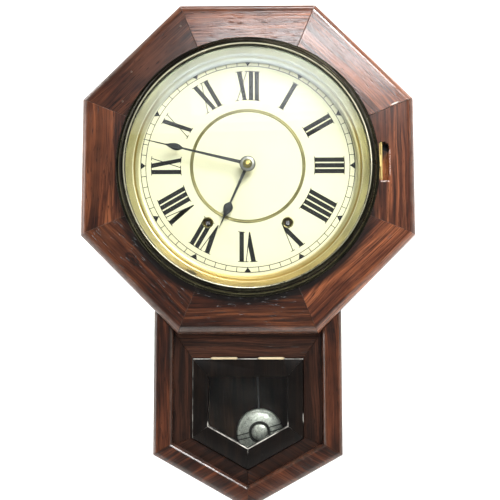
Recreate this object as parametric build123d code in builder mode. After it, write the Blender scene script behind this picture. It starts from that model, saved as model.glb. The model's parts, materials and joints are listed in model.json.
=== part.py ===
from build123d import *
from math import acos, atan2, cos, hypot, pi, radians, sin, sqrt, tan
import os

# Schoolhouse wall clock: octagonal front, round dial behind a hinged bezel, pointed drop with a
# small glazed door, and an eight-day time and strike movement with a pendulum. Millimetres.
# The origin is the hanger hole in the back plane. X runs right, Z up, and the clock stands off
# the wall along -Y. "off" is the distance from the wall: a face at off 84 lies at y = -84.
# Case pieces are placed from the octagon's centre, the dial and the movement from the dial's.

os.makedirs("parts", exist_ok=True)

# ---- case
OCT_Z = -150.0  # octagon centre, below the hanger hole
OCT_FLATS = 432.0
OCT_THICK = 22.0
OCT_ROUND = 11.0  # quarter round on the front edge
OPENING_R = 160.0
LEDGE_R = 148.0
CASE_HALF = 120.0
CASE_TOP = 175.0
CASE_FRONT = 84.0
BOARD = 10.0
BACK_THICK = 8.0
POINT_SLOPE = tan(radians(29.0))  # slope of the pointed bottom
POINT_STRETCH = 1.0 / cos(radians(29.0))
POINT_Z = -434.5
KERF = 0.12  # hairline left at each glued mitre
MOULD_WIDE = 25.0
MOULD_THICK = 14.0
FRAME_THICK = 14.0
FRAME_TOP = -192.0

# ---- lower door
DOOR_HALF = 70.8
DOOR_TOP = -247.3
DOOR_TIP = -386.7
DOOR_GAP = 0.8
DOOR_BACK = 74.0
DOOR_THICK = 14.0
WINDOW_HALF = 50.4
WINDOW_TOP = -270.4
WINDOW_TIP = -360.4
DOOR_HINGE_X = 30.0
DOOR_HINGE_LONG = 31.0
DOOR_AXIS = (89.4, -246.9)  # off and height of the door's hinge pins
DOOR_KNUCKLE_R = 1.5
DOOR_PIN_R = 0.7

# ---- bezel
RIM_R = 169.8
SIGHT_R = 156.9
GLASS_R = 159.6
GLASS_OFF = 108.7
GLASS_THICK = 2.2
RIM_OFF = 106.4
BEZEL_AXIS = (172.0, 104.8)  # x and off of the bezel's hinge pin
BEZEL_HINGE_Z = 5.5
BEZEL_HINGE_LONG = 46.0
BEZEL_KNUCKLE_R = 1.6
BEZEL_PIN_R = 0.8
LEAF_THICK = 1.2
LEAF_SCREW_OFF = 98.0
MORTISE = (169.6, 182.0)  # low and high x of the pocket beside the bezel hinge
TONGUE_X = -158.7  # tongue on the rim that the catch grips

# ---- dial and hands
DIAL_Z = OCT_Z + 3.2
DIAL_R = 156.0
DIAL_OFF = 87.2
DIAL_THICK = 0.8
RING_R = 73.5
WIND_X = 52.0
WIND_Z = -75.0
WIND_HOLE_R = 6.4
MINUTE_TURN = 283.6  # hand angles, clockwise from twelve
HOUR_TURN = 204.0
HOUR_HAND_OFF = 96.0
MINUTE_HAND_OFF = 101.0

# ---- movement
BACK_PLATE = 36.0
FRONT_PLATE = 70.0
PLATE_THICK = 2.0
PRESSURE = radians(25.0)
TOOTH_THIN = 0.07  # taken off each tooth for backlash
FIT = 0.05
CENTRE = (0.0, 0.0)
TIME_GREAT = (WIND_X, WIND_Z)
STRIKE_GREAT = (-WIND_X, WIND_Z)
ESCAPE = (0.0, 29.5)
PALLET = (0.0, 55.0)
HAMMER = (-88.0, -96.0)
SWING = radians(2.1)  # where the pendulum is caught, towards +X
PENDULUM_LONG = 404.0
PENDULUM_OFF = 28.0
BOB_R = 31.0
GONG_Z = -190.0

LOW = (Align.CENTER, Align.CENTER, Align.MIN)
CORNER = (Align.MIN, Align.MIN, Align.MIN)


# ---- shared makers
def front(off, x=0.0, z=0.0):
    """Plane facing the viewer, off from the wall."""
    return Plane(origin=(x, -off, z), x_dir=(1, 0, 0), z_dir=(0, -1, 0))


def slab(points, off, thick, level=OCT_Z, mode=Mode.ADD):
    """Flat piece with a straight-sided outline, seen from the front."""
    with BuildSketch(front(off, 0, level)) as face:
        Polygon(*points)
    extrude(face.sketch, amount=thick, mode=mode)


def disc(place, radius, off, thick, level=DIAL_Z, mode=Mode.ADD):
    """Cylinder standing off the wall."""
    with Locations(front(off, place[0], level + place[1])):
        Cylinder(radius, thick, align=LOW, mode=mode)


def block(across, offs, heights, level=OCT_Z, mode=Mode.ADD):
    """Box given by its low and high x, off and height."""
    with Locations((across[0], -offs[1], level + heights[0])):
        Box(across[1] - across[0], offs[1] - offs[0], heights[1] - heights[0], align=CORNER, mode=mode)


def lathe(points, place=CENTRE, level=DIAL_Z, mode=Mode.ADD):
    """Ring or turned piece from (radius, off) points, about an axis out of the wall."""
    centre = (place[0], 0, level + place[1])
    with BuildSketch(Plane(origin=centre, x_dir=(1, 0, 0), z_dir=(0, 0, -1))) as profile:
        Polygon(*points)
    revolve(profile.sketch, axis=Axis(centre, (0, -1, 0)), mode=mode)


def lengthwise(start, direction, radius, length, mode=Mode.ADD):
    """Cylinder from a point along a direction."""
    with Locations(Plane(origin=start, z_dir=direction)):
        Cylinder(radius, length, align=LOW, mode=mode)


def wire(points, radius, mode=Mode.ADD):
    """Bent round wire through (x, off, z) points given from the dial's centre."""
    spots = [Vector(x, -off, DIAL_Z + z) for x, off, z in points]
    for a, b in zip(spots, spots[1:]):
        lengthwise(a, b - a, radius, (b - a).length, mode)
    for bend in spots[1:-1]:
        with Locations(bend):
            Sphere(radius, mode=mode)


def kerf(start, end, off, thick, width=KERF):
    """Saw a hairline along a mitre, leaving separate pieces."""
    run = hypot(end[0] - start[0], end[1] - start[1])
    side = ((start[1] - end[1]) / run * width / 2, (end[0] - start[0]) / run * width / 2)
    outline = [(start[0] + side[0], start[1] + side[1]), (start[0] - side[0], start[1] - side[1]),
               (end[0] - side[0], end[1] - side[1]), (end[0] + side[0], end[1] + side[1])]
    slab(outline, off, thick, mode=Mode.SUBTRACT)


def pointed(half, top, tip):
    """Five-sided outline with a flat top and a pointed bottom."""
    shoulder = tip + half * POINT_SLOPE
    return [(-half, top), (-half, shoulder), (0, tip), (half, shoulder), (half, top)]


def ribbon(path, thick):
    """Outline of a strip that follows a path, seen edge on."""
    left, right = [], []
    for i, (x, z) in enumerate(path):
        ahead, behind = path[min(i + 1, len(path) - 1)], path[max(i - 1, 0)]
        run = hypot(ahead[0] - behind[0], ahead[1] - behind[1])
        nx, nz = (behind[1] - ahead[1]) / run * thick / 2, (ahead[0] - behind[0]) / run * thick / 2
        left.append((x + nx, z + nz))
        right.append((x - nx, z - nz))
    return left + right[::-1]


def coil(place, inner, outer, turns, start, steps=24):
    """Points of a flat spiral that opens outwards."""
    count = int(turns * steps)
    path = []
    for i in range(count + 1):
        radius = inner + (outer - inner) * i / count
        angle = start + 2 * pi * i / steps
        path.append((place[0] + radius * cos(angle), place[1] + radius * sin(angle)))
    return path


def save(piece, node):
    """Label a finished piece and write it."""
    piece.part.label = node
    export_step(piece.part, f"parts/{node}.step")


# ---- wheelwork
def tooth_outline(teeth, module, phase):
    """Stub involute outline, one tooth centred at the phase angle."""
    pitch = module * teeth / 2
    base = pitch * cos(PRESSURE)
    root = pitch - 1.05 * module
    tip = pitch + 0.8 * module
    at_pitch = (pi * module / 2 - TOOTH_THIN) / 2 / pitch

    def half_angle(radius):
        lean = acos(base / radius)
        return at_pitch + (tan(PRESSURE) - PRESSURE) - (tan(lean) - lean)

    start = max(base, root)
    flank = [(start, half_angle(start)), (pitch, at_pitch), (tip, half_angle(tip))]
    if base > root:
        flank.insert(0, (root, half_angle(start)))
    points = []
    for tooth in range(teeth):
        middle = phase + 2 * pi * tooth / teeth
        points += [(r * cos(middle - a), r * sin(middle - a)) for r, a in flank]
        points += [(r * cos(middle + a), r * sin(middle + a)) for r, a in reversed(flank)]
    return points


def gear(place, teeth, module, off, thick, phase):
    """Toothed disc on an arbor."""
    with BuildSketch(front(off, place[0], DIAL_Z + place[1])) as face:
        Polygon(*tooth_outline(teeth, module, phase))
    extrude(face.sketch, amount=thick)


def crossings(place, hub, rim, arms, arm_wide, off, thick):
    """Cut a wheel out to spokes."""
    with BuildSketch(front(off, place[0], DIAL_Z + place[1])) as windows:
        Circle(rim)
        Circle(hub, mode=Mode.SUBTRACT)
        with PolarLocations(0, arms):
            Rectangle(2 * rim, arm_wide, align=(Align.MIN, Align.CENTER), mode=Mode.SUBTRACT)
    extrude(windows.sketch, amount=thick, mode=Mode.SUBTRACT)


def arbor(place, radius=1.5, pivot=0.8):
    """Arbor between the plates with a pivot in each."""
    disc(place, radius, BACK_PLATE + PLATE_THICK + 0.4, FRONT_PLATE - BACK_PLATE - PLATE_THICK - 0.8)
    disc(place, pivot, BACK_PLATE, FRONT_PLATE + PLATE_THICK - BACK_PLATE)


def meshed(phase, teeth, place, other_teeth, other):
    """Phase of the other gear that puts a gap where this gear's tooth meets it."""
    line = atan2(other[1] - place[1], other[0] - place[0])
    share = (line - phase) * teeth / (2 * pi)
    return line + pi - (0.5 - share) * 2 * pi / other_teeth


def third_corner(a, reach_a, b, reach_b, side):
    """Point at the given distances from two others."""
    gap = hypot(b[0] - a[0], b[1] - a[1])
    ux, uz = (b[0] - a[0]) / gap, (b[1] - a[1]) / gap
    along = (reach_a**2 - reach_b**2 + gap**2) / (2 * gap)
    across = side * sqrt(reach_a**2 - along**2)
    return (a[0] + along * ux - across * uz, a[1] + along * uz + across * ux)


def reach(module, teeth_a, teeth_b):
    """Distance between the arbors of a pair."""
    return module * (teeth_a + teeth_b) / 2


def away(place, distance, angle):
    """Point at a distance and angle from another."""
    return (place[0] + distance * cos(radians(angle)), place[1] + distance * sin(radians(angle)))


# Tooth counts and modules, great wheel first
GREAT_TEETH, GREAT_PINION, GREAT_MOD = 80, 16, 0.9
SECOND_TEETH, CENTRE_PINION, SECOND_MOD = 72, 26, 1.0
CENTRE_TEETH, THIRD_PINION, CENTRE_MOD = 90, 10, 0.5
THIRD_TEETH, ESCAPE_PINION, THIRD_MOD = 98, 10, 0.45
ESCAPE_TEETH, ESCAPE_R = 32, 18.0
CANNON_TEETH, MINUTE_TEETH, CANNON_MOD = 12, 36, 0.75
MINUTE_PINION, HOUR_TEETH, HOUR_MOD = 10, 40, 0.72
PIN_TEETH, WARNING_PINION, PIN_MOD = 78, 10, 0.7
WARNING_TEETH, FLY_PINION, WARNING_MOD = 72, 9, 0.5

SECOND = third_corner(CENTRE, reach(SECOND_MOD, SECOND_TEETH, CENTRE_PINION),
                      TIME_GREAT, reach(GREAT_MOD, GREAT_TEETH, GREAT_PINION), 1)
PIN_WHEEL = (-SECOND[0], SECOND[1])
THIRD = third_corner(CENTRE, reach(CENTRE_MOD, CENTRE_TEETH, THIRD_PINION),
                     ESCAPE, reach(THIRD_MOD, THIRD_TEETH, ESCAPE_PINION), -1)
MINUTE = away(CENTRE, reach(CANNON_MOD, CANNON_TEETH, MINUTE_TEETH), 200)
WARNING = away(PIN_WHEEL, reach(PIN_MOD, PIN_TEETH, WARNING_PINION), 110)
FLY = away(WARNING, reach(WARNING_MOD, WARNING_TEETH, FLY_PINION), 80)
PILLARS = [(70, 50), (-70, 50), (84, -30), (-84, -30), (0, -100)]
EARS = [(99, 50), (-99, 50), (99, -60), (-99, -60)]

# =====================================================================  case
with BuildPart() as backboard:
    slab(pointed(CASE_HALF, CASE_TOP, POINT_Z), 0, BACK_THICK)
    block((-17, 17), (0, 1.6), (-22, 20), level=0, mode=Mode.SUBTRACT)
    disc(CENTRE, 9, 0, BACK_THICK, level=0, mode=Mode.SUBTRACT)
save(backboard, "backboard")

inner_point = POINT_Z + BOARD * POINT_STRETCH
outer_corner = (CASE_HALF, POINT_Z + CASE_HALF * POINT_SLOPE)
inner_corner = (CASE_HALF - BOARD, inner_point + (CASE_HALF - BOARD) * POINT_SLOPE)
for side, name in ((-1, "left"), (1, "right")):
    with BuildPart() as case_side:
        slab([(side * CASE_HALF, CASE_TOP), (side * inner_corner[0], CASE_TOP),
              (side * inner_corner[0], inner_corner[1]), (side * outer_corner[0], outer_corner[1])],
             BACK_THICK, CASE_FRONT - BACK_THICK)
    save(case_side, f"case_side_{name}")

with BuildPart() as case_top:
    block((-inner_corner[0], inner_corner[0]), (BACK_THICK, CASE_FRONT), (CASE_TOP - BOARD, CASE_TOP))
save(case_top, "case_top")

with BuildPart() as case_floor_boards:
    slab([outer_corner, inner_corner, (0, inner_point), (-inner_corner[0], inner_corner[1]),
          (-outer_corner[0], outer_corner[1]), (0, POINT_Z)], BACK_THICK, CASE_FRONT - BACK_THICK)
    kerf((0, inner_point + 1), (0, POINT_Z - 1), BACK_THICK, CASE_FRONT - BACK_THICK)
save(case_floor_boards, "case_floor_boards")

# Octagon of eight mitred boards; the upper right mitre has opened
with BuildPart() as octagon_segments:
    with BuildSketch(front(CASE_FRONT, 0, OCT_Z)) as octagon:
        RegularPolygon(OCT_FLATS / 2, 8, major_radius=False, rotation=22.5)
    extrude(amount=OCT_THICK)
    front_face = octagon_segments.faces().sort_by(Axis.Y)[0]
    fillet(front_face.edges(), OCT_ROUND)
    disc(CENTRE, LEDGE_R, CASE_FRONT, OCT_THICK, level=OCT_Z, mode=Mode.SUBTRACT)
    disc(CENTRE, OPENING_R, DIAL_OFF, CASE_FRONT + OCT_THICK - DIAL_OFF, level=OCT_Z, mode=Mode.SUBTRACT)
    hinge_low = BEZEL_HINGE_Z - BEZEL_HINGE_LONG / 2 - 2
    hinge_high = BEZEL_HINGE_Z + BEZEL_HINGE_LONG / 2 + 2
    block(MORTISE, (93, CASE_FRONT + OCT_THICK), (hinge_low, hinge_high), mode=Mode.SUBTRACT)
    for k in range(8):
        crack = 0.5 if k == 0 else KERF
        kerf(away(CENTRE, LEDGE_R - 5, 22.5 + 45 * k), away(CENTRE, OCT_FLATS, 22.5 + 45 * k),
             CASE_FRONT, OCT_THICK, width=crack)
save(octagon_segments, "octagon_segments")

# Rounded moulding on the front of the drop, cut to the octagon's lower edges
mould_tip = POINT_Z + MOULD_WIDE * POINT_STRETCH
mould_inner = CASE_HALF - MOULD_WIDE
with BuildPart() as drop_mouldings:
    slab(pointed(CASE_HALF, -150, POINT_Z), CASE_FRONT, MOULD_THICK)
    outer_edges = drop_mouldings.faces().sort_by(Axis.Y)[0].edges().sort_by(Axis.Z)[:4]
    fillet(outer_edges, 6.5)
    slab(pointed(mould_inner, -140, mould_tip), CASE_FRONT, MOULD_THICK, mode=Mode.SUBTRACT)
    mould_face = drop_mouldings.faces().sort_by(Axis.Y)[0]
    inner_edges = [e for e in mould_face.edges()
                   if abs(e.center().X) < mould_inner + 0.1 and e.length > 50]
    fillet(inner_edges, 6.0)
    with BuildSketch(front(CASE_FRONT, 0, OCT_Z)) as octagon_shadow:
        RegularPolygon(OCT_FLATS / 2 + 0.05, 8, major_radius=False, rotation=22.5)
    extrude(amount=MOULD_THICK, mode=Mode.SUBTRACT)
    kerf((0, mould_tip + 1), (0, POINT_Z - 1), CASE_FRONT, MOULD_THICK)
    for side in (-1, 1):
        kerf((side * outer_corner[0], outer_corner[1]),
             (side * mould_inner, mould_tip + mould_inner * POINT_SLOPE), CASE_FRONT, MOULD_THICK)
save(drop_mouldings, "drop_mouldings")

# Recessed panel frame round the door opening
open_half = DOOR_HALF + DOOR_GAP
open_top = DOOR_TOP + DOOR_GAP + 0.1
open_tip = DOOR_TIP - DOOR_GAP * POINT_STRETCH
with BuildPart() as drop_frame:
    slab(pointed(inner_corner[0], FRAME_TOP, inner_point), CASE_FRONT - FRAME_THICK, FRAME_THICK)
    slab(pointed(open_half, open_top, open_tip), CASE_FRONT - FRAME_THICK, FRAME_THICK, mode=Mode.SUBTRACT)
    for x in (-DOOR_HINGE_X, DOOR_HINGE_X):
        block((x - DOOR_HINGE_LONG / 2 - 0.1, x + DOOR_HINGE_LONG / 2 + 0.1), (DOOR_BACK, CASE_FRONT),
              (open_top, open_top + 1.05), mode=Mode.SUBTRACT)
    kerf((0, open_tip + 1), (0, inner_point - 1), CASE_FRONT - FRAME_THICK, FRAME_THICK)
    for side in (-1, 1):
        kerf((side * (open_half - 0.5), open_top - 0.7), (side * inner_corner[0], FRAME_TOP),
             CASE_FRONT - FRAME_THICK, FRAME_THICK)
        kerf((side * (open_half - 0.5), open_tip + open_half * POINT_SLOPE + 0.3),
             (side * inner_corner[0], inner_corner[1]), CASE_FRONT - FRAME_THICK, FRAME_THICK)
save(drop_frame, "drop_frame")

with BuildPart() as hanger_plate:
    block((-17, 17), (0, 1.6), (-22, 20), level=0)
    fillet(hanger_plate.edges().filter_by(Axis.Y), 3)
    disc(CENTRE, 5, 0, 1.6, level=0, mode=Mode.SUBTRACT)
    for x in (-11, 11):
        disc((x, -15), 2.1, 0, 1.6, level=0, mode=Mode.SUBTRACT)
save(hanger_plate, "hanger_plate")

with BuildPart() as movement_cleats:
    for low, high in ((-110, -92), (92, 110)):
        block((low, high), (40, FRONT_PLATE), (-75, 65), level=DIAL_Z)
save(movement_cleats, "movement_cleats")


def wood_screw(place, head_off, length, level=DIAL_Z, head_r=3.4, shank_r=1.8):
    """Slotted screw driven towards the wall, its head as thick as half its width."""
    top = head_off + head_r * 0.55
    disc(place, head_r, head_off, top - head_off, level)
    disc(place, shank_r, head_off - length, length, level)
    x, z = place
    block((x - head_r, x + head_r), (top - 0.6, top), (z - 0.3, z + 0.3), level, Mode.SUBTRACT)


with BuildPart() as case_screws:
    for ear in EARS:
        wood_screw(ear, FRONT_PLATE + PLATE_THICK, 18)
    for z in (-12, 12):
        wood_screw((0, GONG_Z + z), 11, 8.5)
    for z in (-16, 16):
        seat = (MORTISE[0] + LEAF_THICK, -LEAF_SCREW_OFF, OCT_Z + BEZEL_HINGE_Z + z)
        lengthwise(seat, (1, 0, 0), 1.9, 1.2)
        lengthwise(seat, (-1, 0, 0), 1.0, 8)
        block((seat[0] + 0.8, seat[0] + 1.2), (LEAF_SCREW_OFF - 0.3, LEAF_SCREW_OFF + 0.3),
              (BEZEL_HINGE_Z + z - 2, BEZEL_HINGE_Z + z + 2), mode=Mode.SUBTRACT)
    for x in (-11, 11):
        disc((x, -15), 2.0, 0, 7, level=0)
save(case_screws, "case_screws")

# =====================================================================  bezel
# Rim rolled from sheet brass, hollow at the back, with a tongue for the catch on its left
with BuildPart() as bezel_rim:
    profile_plane = Plane(origin=(0, 0, OCT_Z), x_dir=(1, 0, 0), z_dir=(0, 0, -1))
    with BuildSketch(profile_plane) as rim_profile:
        with BuildLine():
            Polyline((GLASS_R + 0.4, RIM_OFF), (RIM_R, RIM_OFF), (RIM_R, 108.2))
            ThreePointArc((RIM_R, 108.2), (169.2, 109.1), (168.0, 109.0))
            ThreePointArc((168.0, 109.0), (165.9, 109.9), (165.0, 112.0))
            ThreePointArc((165.0, 112.0), (164.2, 116.9), (160.6, 120.4))
            ThreePointArc((160.6, 120.4), (158.2, 119.7), (SIGHT_R, 117.6))
            Polyline((SIGHT_R, 117.6), (SIGHT_R, GLASS_OFF + GLASS_THICK + 0.05),
                     (GLASS_R + 0.4, GLASS_OFF + GLASS_THICK + 0.05), (GLASS_R + 0.4, RIM_OFF))
        make_face()
    revolve(axis=Axis((0, 0, OCT_Z), (0, -1, 0)))
    lathe([(168.8, RIM_OFF), (168.8, 107.8), (167.8, 107.9), (165.2, 108.9), (164.0, 111.8), (163.2, 116.4),
           (160.4, 119.2), (158.9, 118.6), (157.9, 117.2), (157.9, 112.0), (161.0, 112.0), (161.0, RIM_OFF)],
          level=OCT_Z, mode=Mode.SUBTRACT)
    block((TONGUE_X - 2.8, TONGUE_X + 0.8), (RIM_OFF, RIM_OFF + 1.0), (-5, 5))
    block((TONGUE_X, TONGUE_X + 0.8), (98, RIM_OFF + 1.0), (-5, 5))
save(bezel_rim, "bezel_rim")

with BuildPart() as bezel_glass:
    disc(CENTRE, GLASS_R, GLASS_OFF, GLASS_THICK, level=OCT_Z)
    fillet(bezel_glass.edges(), 0.3)
save(bezel_glass, "bezel_glass")

# Stepped brass reflector between the glass and the dial
with BuildPart() as sight_ring:
    lathe([(GLASS_R, 107.5), (GLASS_R, 108.6), (156.4, 108.6), (155.4, 105.6), (149.6, 97.2),
           (148.6, 96.9), (147.6, 96.0), (147.0, 94.6), (143.6, 91.4), (141.0, 90.6), (141.0, 89.9),
           (144.0, 90.8), (147.7, 94.2), (148.2, 95.4), (149.0, 96.1), (150.2, 96.5), (156.2, 105.2),
           (157.1, 107.5)], level=OCT_Z)
save(sight_ring, "sight_ring")

hinge_x, hinge_off = BEZEL_AXIS
third_long = BEZEL_HINGE_LONG / 3
hinge_bottom = BEZEL_HINGE_Z - BEZEL_HINGE_LONG / 2
with BuildPart() as bezel_hinge_case_leaf:
    leaf = (MORTISE[0], MORTISE[0] + LEAF_THICK)
    block(leaf, (94, 103), (hinge_bottom, hinge_bottom + BEZEL_HINGE_LONG))
    for low in (hinge_bottom, hinge_bottom + 2 * third_long + 0.2):
        block(leaf, (102.5, hinge_off), (low, low + third_long - 0.2))
        lengthwise((hinge_x, -hinge_off, OCT_Z + low), (0, 0, 1), BEZEL_KNUCKLE_R, third_long - 0.2)
    lengthwise((hinge_x, -hinge_off, OCT_Z + hinge_bottom - 1), (0, 0, 1), BEZEL_PIN_R + FIT,
               BEZEL_HINGE_LONG + 2, mode=Mode.SUBTRACT)
    for z in (-16, 16):
        lengthwise((leaf[0] - 1, -LEAF_SCREW_OFF, OCT_Z + BEZEL_HINGE_Z + z), (1, 0, 0), 1.0 + FIT, 4,
                   Mode.SUBTRACT)
save(bezel_hinge_case_leaf, "bezel_hinge_case_leaf")

with BuildPart() as bezel_hinge_leaf:
    middle_low = hinge_bottom + third_long
    block((RIM_R - 0.1, hinge_x), (hinge_off + 1, hinge_off + 2.2), (middle_low, middle_low + third_long))
    disc(CENTRE, RIM_R + 0.02, RIM_OFF - 0.02, 10, level=OCT_Z, mode=Mode.SUBTRACT)
    lengthwise((hinge_x, -hinge_off, OCT_Z + middle_low), (0, 0, 1), BEZEL_KNUCKLE_R, third_long)
    lengthwise((hinge_x, -hinge_off, OCT_Z + middle_low - 1), (0, 0, 1), BEZEL_PIN_R + 0.01,
               third_long + 2, mode=Mode.SUBTRACT)
save(bezel_hinge_leaf, "bezel_hinge_leaf")

with BuildPart() as bezel_hinge_pin:
    lengthwise((hinge_x, -hinge_off, OCT_Z + hinge_bottom - 0.6), (0, 0, 1), BEZEL_PIN_R,
               BEZEL_HINGE_LONG + 1.2)
    for z in (hinge_bottom - 1.6, hinge_bottom + BEZEL_HINGE_LONG + 0.4):
        lengthwise((hinge_x, -hinge_off, OCT_Z + z), (0, 0, 1), 1.3, 1.2)
save(bezel_hinge_pin, "bezel_hinge_pin")

# Spring leaf in the opening that grips the bezel's tongue
with BuildPart() as bezel_catch:
    block((TONGUE_X - 0.9, TONGUE_X - 0.3), (90, 104), (-8, 8))
save(bezel_catch, "bezel_catch")

# =====================================================================  lower door
with BuildPart() as lower_door_frame:
    slab(pointed(DOOR_HALF, DOOR_TOP, DOOR_TIP), DOOR_BACK, DOOR_THICK)
    chamfer(lower_door_frame.faces().sort_by(Axis.Y)[0].edges(), 0.5)
    slab(pointed(WINDOW_HALF, WINDOW_TOP, WINDOW_TIP), DOOR_BACK, DOOR_THICK, mode=Mode.SUBTRACT)
    door_face = lower_door_frame.faces().sort_by(Axis.Y)[0]
    chamfer(door_face.inner_wires()[0].edges(), 1.6)
    slab(pointed(WINDOW_HALF + 5, WINDOW_TOP + 5, WINDOW_TIP - 6), DOOR_BACK, 5, mode=Mode.SUBTRACT)
    for x in (-DOOR_HINGE_X, DOOR_HINGE_X):
        block((x - DOOR_HINGE_LONG / 2 - 0.1, x + DOOR_HINGE_LONG / 2 + 0.1),
              (DOOR_BACK, DOOR_BACK + DOOR_THICK), (DOOR_TOP - 1.05, DOOR_TOP), mode=Mode.SUBTRACT)
    kerf((0, WINDOW_TIP + 1), (0, DOOR_TIP - 1), DOOR_BACK, DOOR_THICK)
    for side in (-1, 1):
        kerf((side * WINDOW_HALF, WINDOW_TOP), (side * DOOR_HALF, DOOR_TOP), DOOR_BACK, DOOR_THICK)
        kerf((side * WINDOW_HALF, WINDOW_TIP + WINDOW_HALF * POINT_SLOPE),
             (side * DOOR_HALF, DOOR_TIP + DOOR_HALF * POINT_SLOPE), DOOR_BACK, DOOR_THICK)
save(lower_door_frame, "lower_door_frame")

with BuildPart() as lower_door_glass:
    slab(pointed(WINDOW_HALF + 4.6, WINDOW_TOP + 4.6, WINDOW_TIP - 5.5), DOOR_BACK + 3, 1.95)
save(lower_door_glass, "lower_door_glass")

with BuildPart() as lower_door_beads:
    slab(pointed(WINDOW_HALF + 4.9, WINDOW_TOP + 4.9, WINDOW_TIP - 5.8), DOOR_BACK + 0.3, 2.6)
    slab(pointed(WINDOW_HALF + 0.6, WINDOW_TOP + 0.6, WINDOW_TIP - 0.8), DOOR_BACK + 0.3, 2.6,
         mode=Mode.SUBTRACT)
    bead_tip = WINDOW_TIP - 3.3
    kerf((0, bead_tip + 3.5), (0, bead_tip - 3.5), DOOR_BACK + 0.3, 2.6)
    for side in (-1, 1):
        kerf((side * (WINDOW_HALF - 1), WINDOW_TOP - 1), (side * (WINDOW_HALF + 6), WINDOW_TOP + 6),
             DOOR_BACK + 0.3, 2.6)
        kerf((side * (WINDOW_HALF - 1), bead_tip + 53 * POINT_SLOPE + 1),
             (side * (WINDOW_HALF + 7), bead_tip + 53 * POINT_SLOPE - 1.4), DOOR_BACK + 0.3, 2.6)
save(lower_door_beads, "lower_door_beads")

axis_off, axis_z = DOOR_AXIS
knuckle_long = DOOR_HINGE_LONG / 3


def door_knuckle(low_x, length):
    """Barrel of a door hinge, bored for the pin."""
    lengthwise((low_x, -axis_off, OCT_Z + axis_z), (1, 0, 0), DOOR_KNUCKLE_R, length)


def door_bore(x, room):
    """Bore a door hinge for its pin."""
    lengthwise((x - 20, -axis_off, OCT_Z + axis_z), (1, 0, 0), DOOR_PIN_R + room, 40, mode=Mode.SUBTRACT)


with BuildPart() as door_hinge_case_leaves:
    for x in (-DOOR_HINGE_X, DOOR_HINGE_X):
        left, right = x - DOOR_HINGE_LONG / 2, x + DOOR_HINGE_LONG / 2
        block((left, right), (DOOR_BACK, DOOR_BACK + 13.4), (open_top, open_top + 1))
        for low in (left, right - knuckle_long + 0.1):
            block((low, low + knuckle_long - 0.1), (DOOR_BACK + 12, axis_off), (open_top, open_top + 1))
            door_knuckle(low, knuckle_long - 0.1)
        door_bore(x, FIT)
save(door_hinge_case_leaves, "door_hinge_case_leaves")

with BuildPart() as door_hinge_leaves:
    for x in (-DOOR_HINGE_X, DOOR_HINGE_X):
        left, right = x - DOOR_HINGE_LONG / 2, x + DOOR_HINGE_LONG / 2
        middle = left + knuckle_long + 0.1
        block((left, right), (DOOR_BACK, DOOR_BACK + 13.4), (DOOR_TOP - 1, DOOR_TOP))
        block((middle, middle + knuckle_long - 0.2), (DOOR_BACK + 12, axis_off), (DOOR_TOP - 1, DOOR_TOP))
        door_knuckle(middle, knuckle_long - 0.2)
        door_bore(x, 0.01)
save(door_hinge_leaves, "door_hinge_leaves")

with BuildPart() as door_hinge_pins:
    for x in (-DOOR_HINGE_X, DOOR_HINGE_X):
        left = x - DOOR_HINGE_LONG / 2
        lengthwise((left - 0.6, -axis_off, OCT_Z + axis_z), (1, 0, 0), DOOR_PIN_R, DOOR_HINGE_LONG + 1.2)
        for end in (left - 1.2, left + DOOR_HINGE_LONG + 0.4):
            lengthwise((end, -axis_off, OCT_Z + axis_z), (1, 0, 0), 1.1, 0.8)
save(door_hinge_pins, "door_hinge_pins")

# Brass spring catch behind the bottom of the door opening
with BuildPart() as door_catch:
    block((-6, 6), (68.6, 70), (-412, -390))
    block((-2.5, 2.5), (68.6, 70), (-390, -380))
    block((-2.5, 2.5), (68.6, 73.6), (-381.4, -380))
save(door_catch, "door_catch")

# =====================================================================  dial and hands
wind_places = (TIME_GREAT, STRIKE_GREAT)
dial_screw_places = [away(CENTRE, 152.2, 45 + 90 * k) for k in range(4)]
with BuildPart() as dial_plate:
    disc(CENTRE, DIAL_R, DIAL_OFF, DIAL_THICK)
    disc(CENTRE, 8, DIAL_OFF, DIAL_THICK, mode=Mode.SUBTRACT)
    for place in wind_places:
        disc(place, WIND_HOLE_R, DIAL_OFF, DIAL_THICK, mode=Mode.SUBTRACT)
    for place in dial_screw_places:
        disc(place, 1.3, DIAL_OFF, DIAL_THICK, mode=Mode.SUBTRACT)
save(dial_plate, "dial_plate")

dial_front = DIAL_OFF + DIAL_THICK
with BuildPart() as dial_centre_ring:
    lathe([(RING_R - 2.1, dial_front), (RING_R + 2.1, dial_front), (RING_R + 1.9, dial_front + 0.7),
           (RING_R + 0.9, dial_front + 1.1), (RING_R, dial_front + 0.8), (RING_R - 0.9, dial_front + 1.1),
           (RING_R - 1.9, dial_front + 0.7)])
save(dial_centre_ring, "dial_centre_ring")

with BuildPart() as winding_grommets:
    for place in wind_places:
        lathe([(5.9, DIAL_OFF - 0.6), (WIND_HOLE_R - 0.02, DIAL_OFF - 0.6), (WIND_HOLE_R - 0.02, dial_front),
               (7.5, dial_front), (7.3, dial_front + 0.5), (6.6, dial_front + 0.8),
               (5.9, dial_front + 0.5)], place)
save(winding_grommets, "winding_grommets")

with BuildPart() as dial_screws:
    for place in dial_screw_places:
        disc(place, 2.4, dial_front, 1.2)
        disc(place, 1.25, DIAL_OFF - 3, 3 + DIAL_THICK)
save(dial_screws, "dial_screws")


def hand_plane(off, turn):
    """Plane of a hand, its local Y axis pointing along the hand."""
    angle = radians(turn)
    return Plane(origin=(0, -off, DIAL_Z), x_dir=(cos(angle), 0, -sin(angle)), z_dir=(0, -1, 0))


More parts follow.
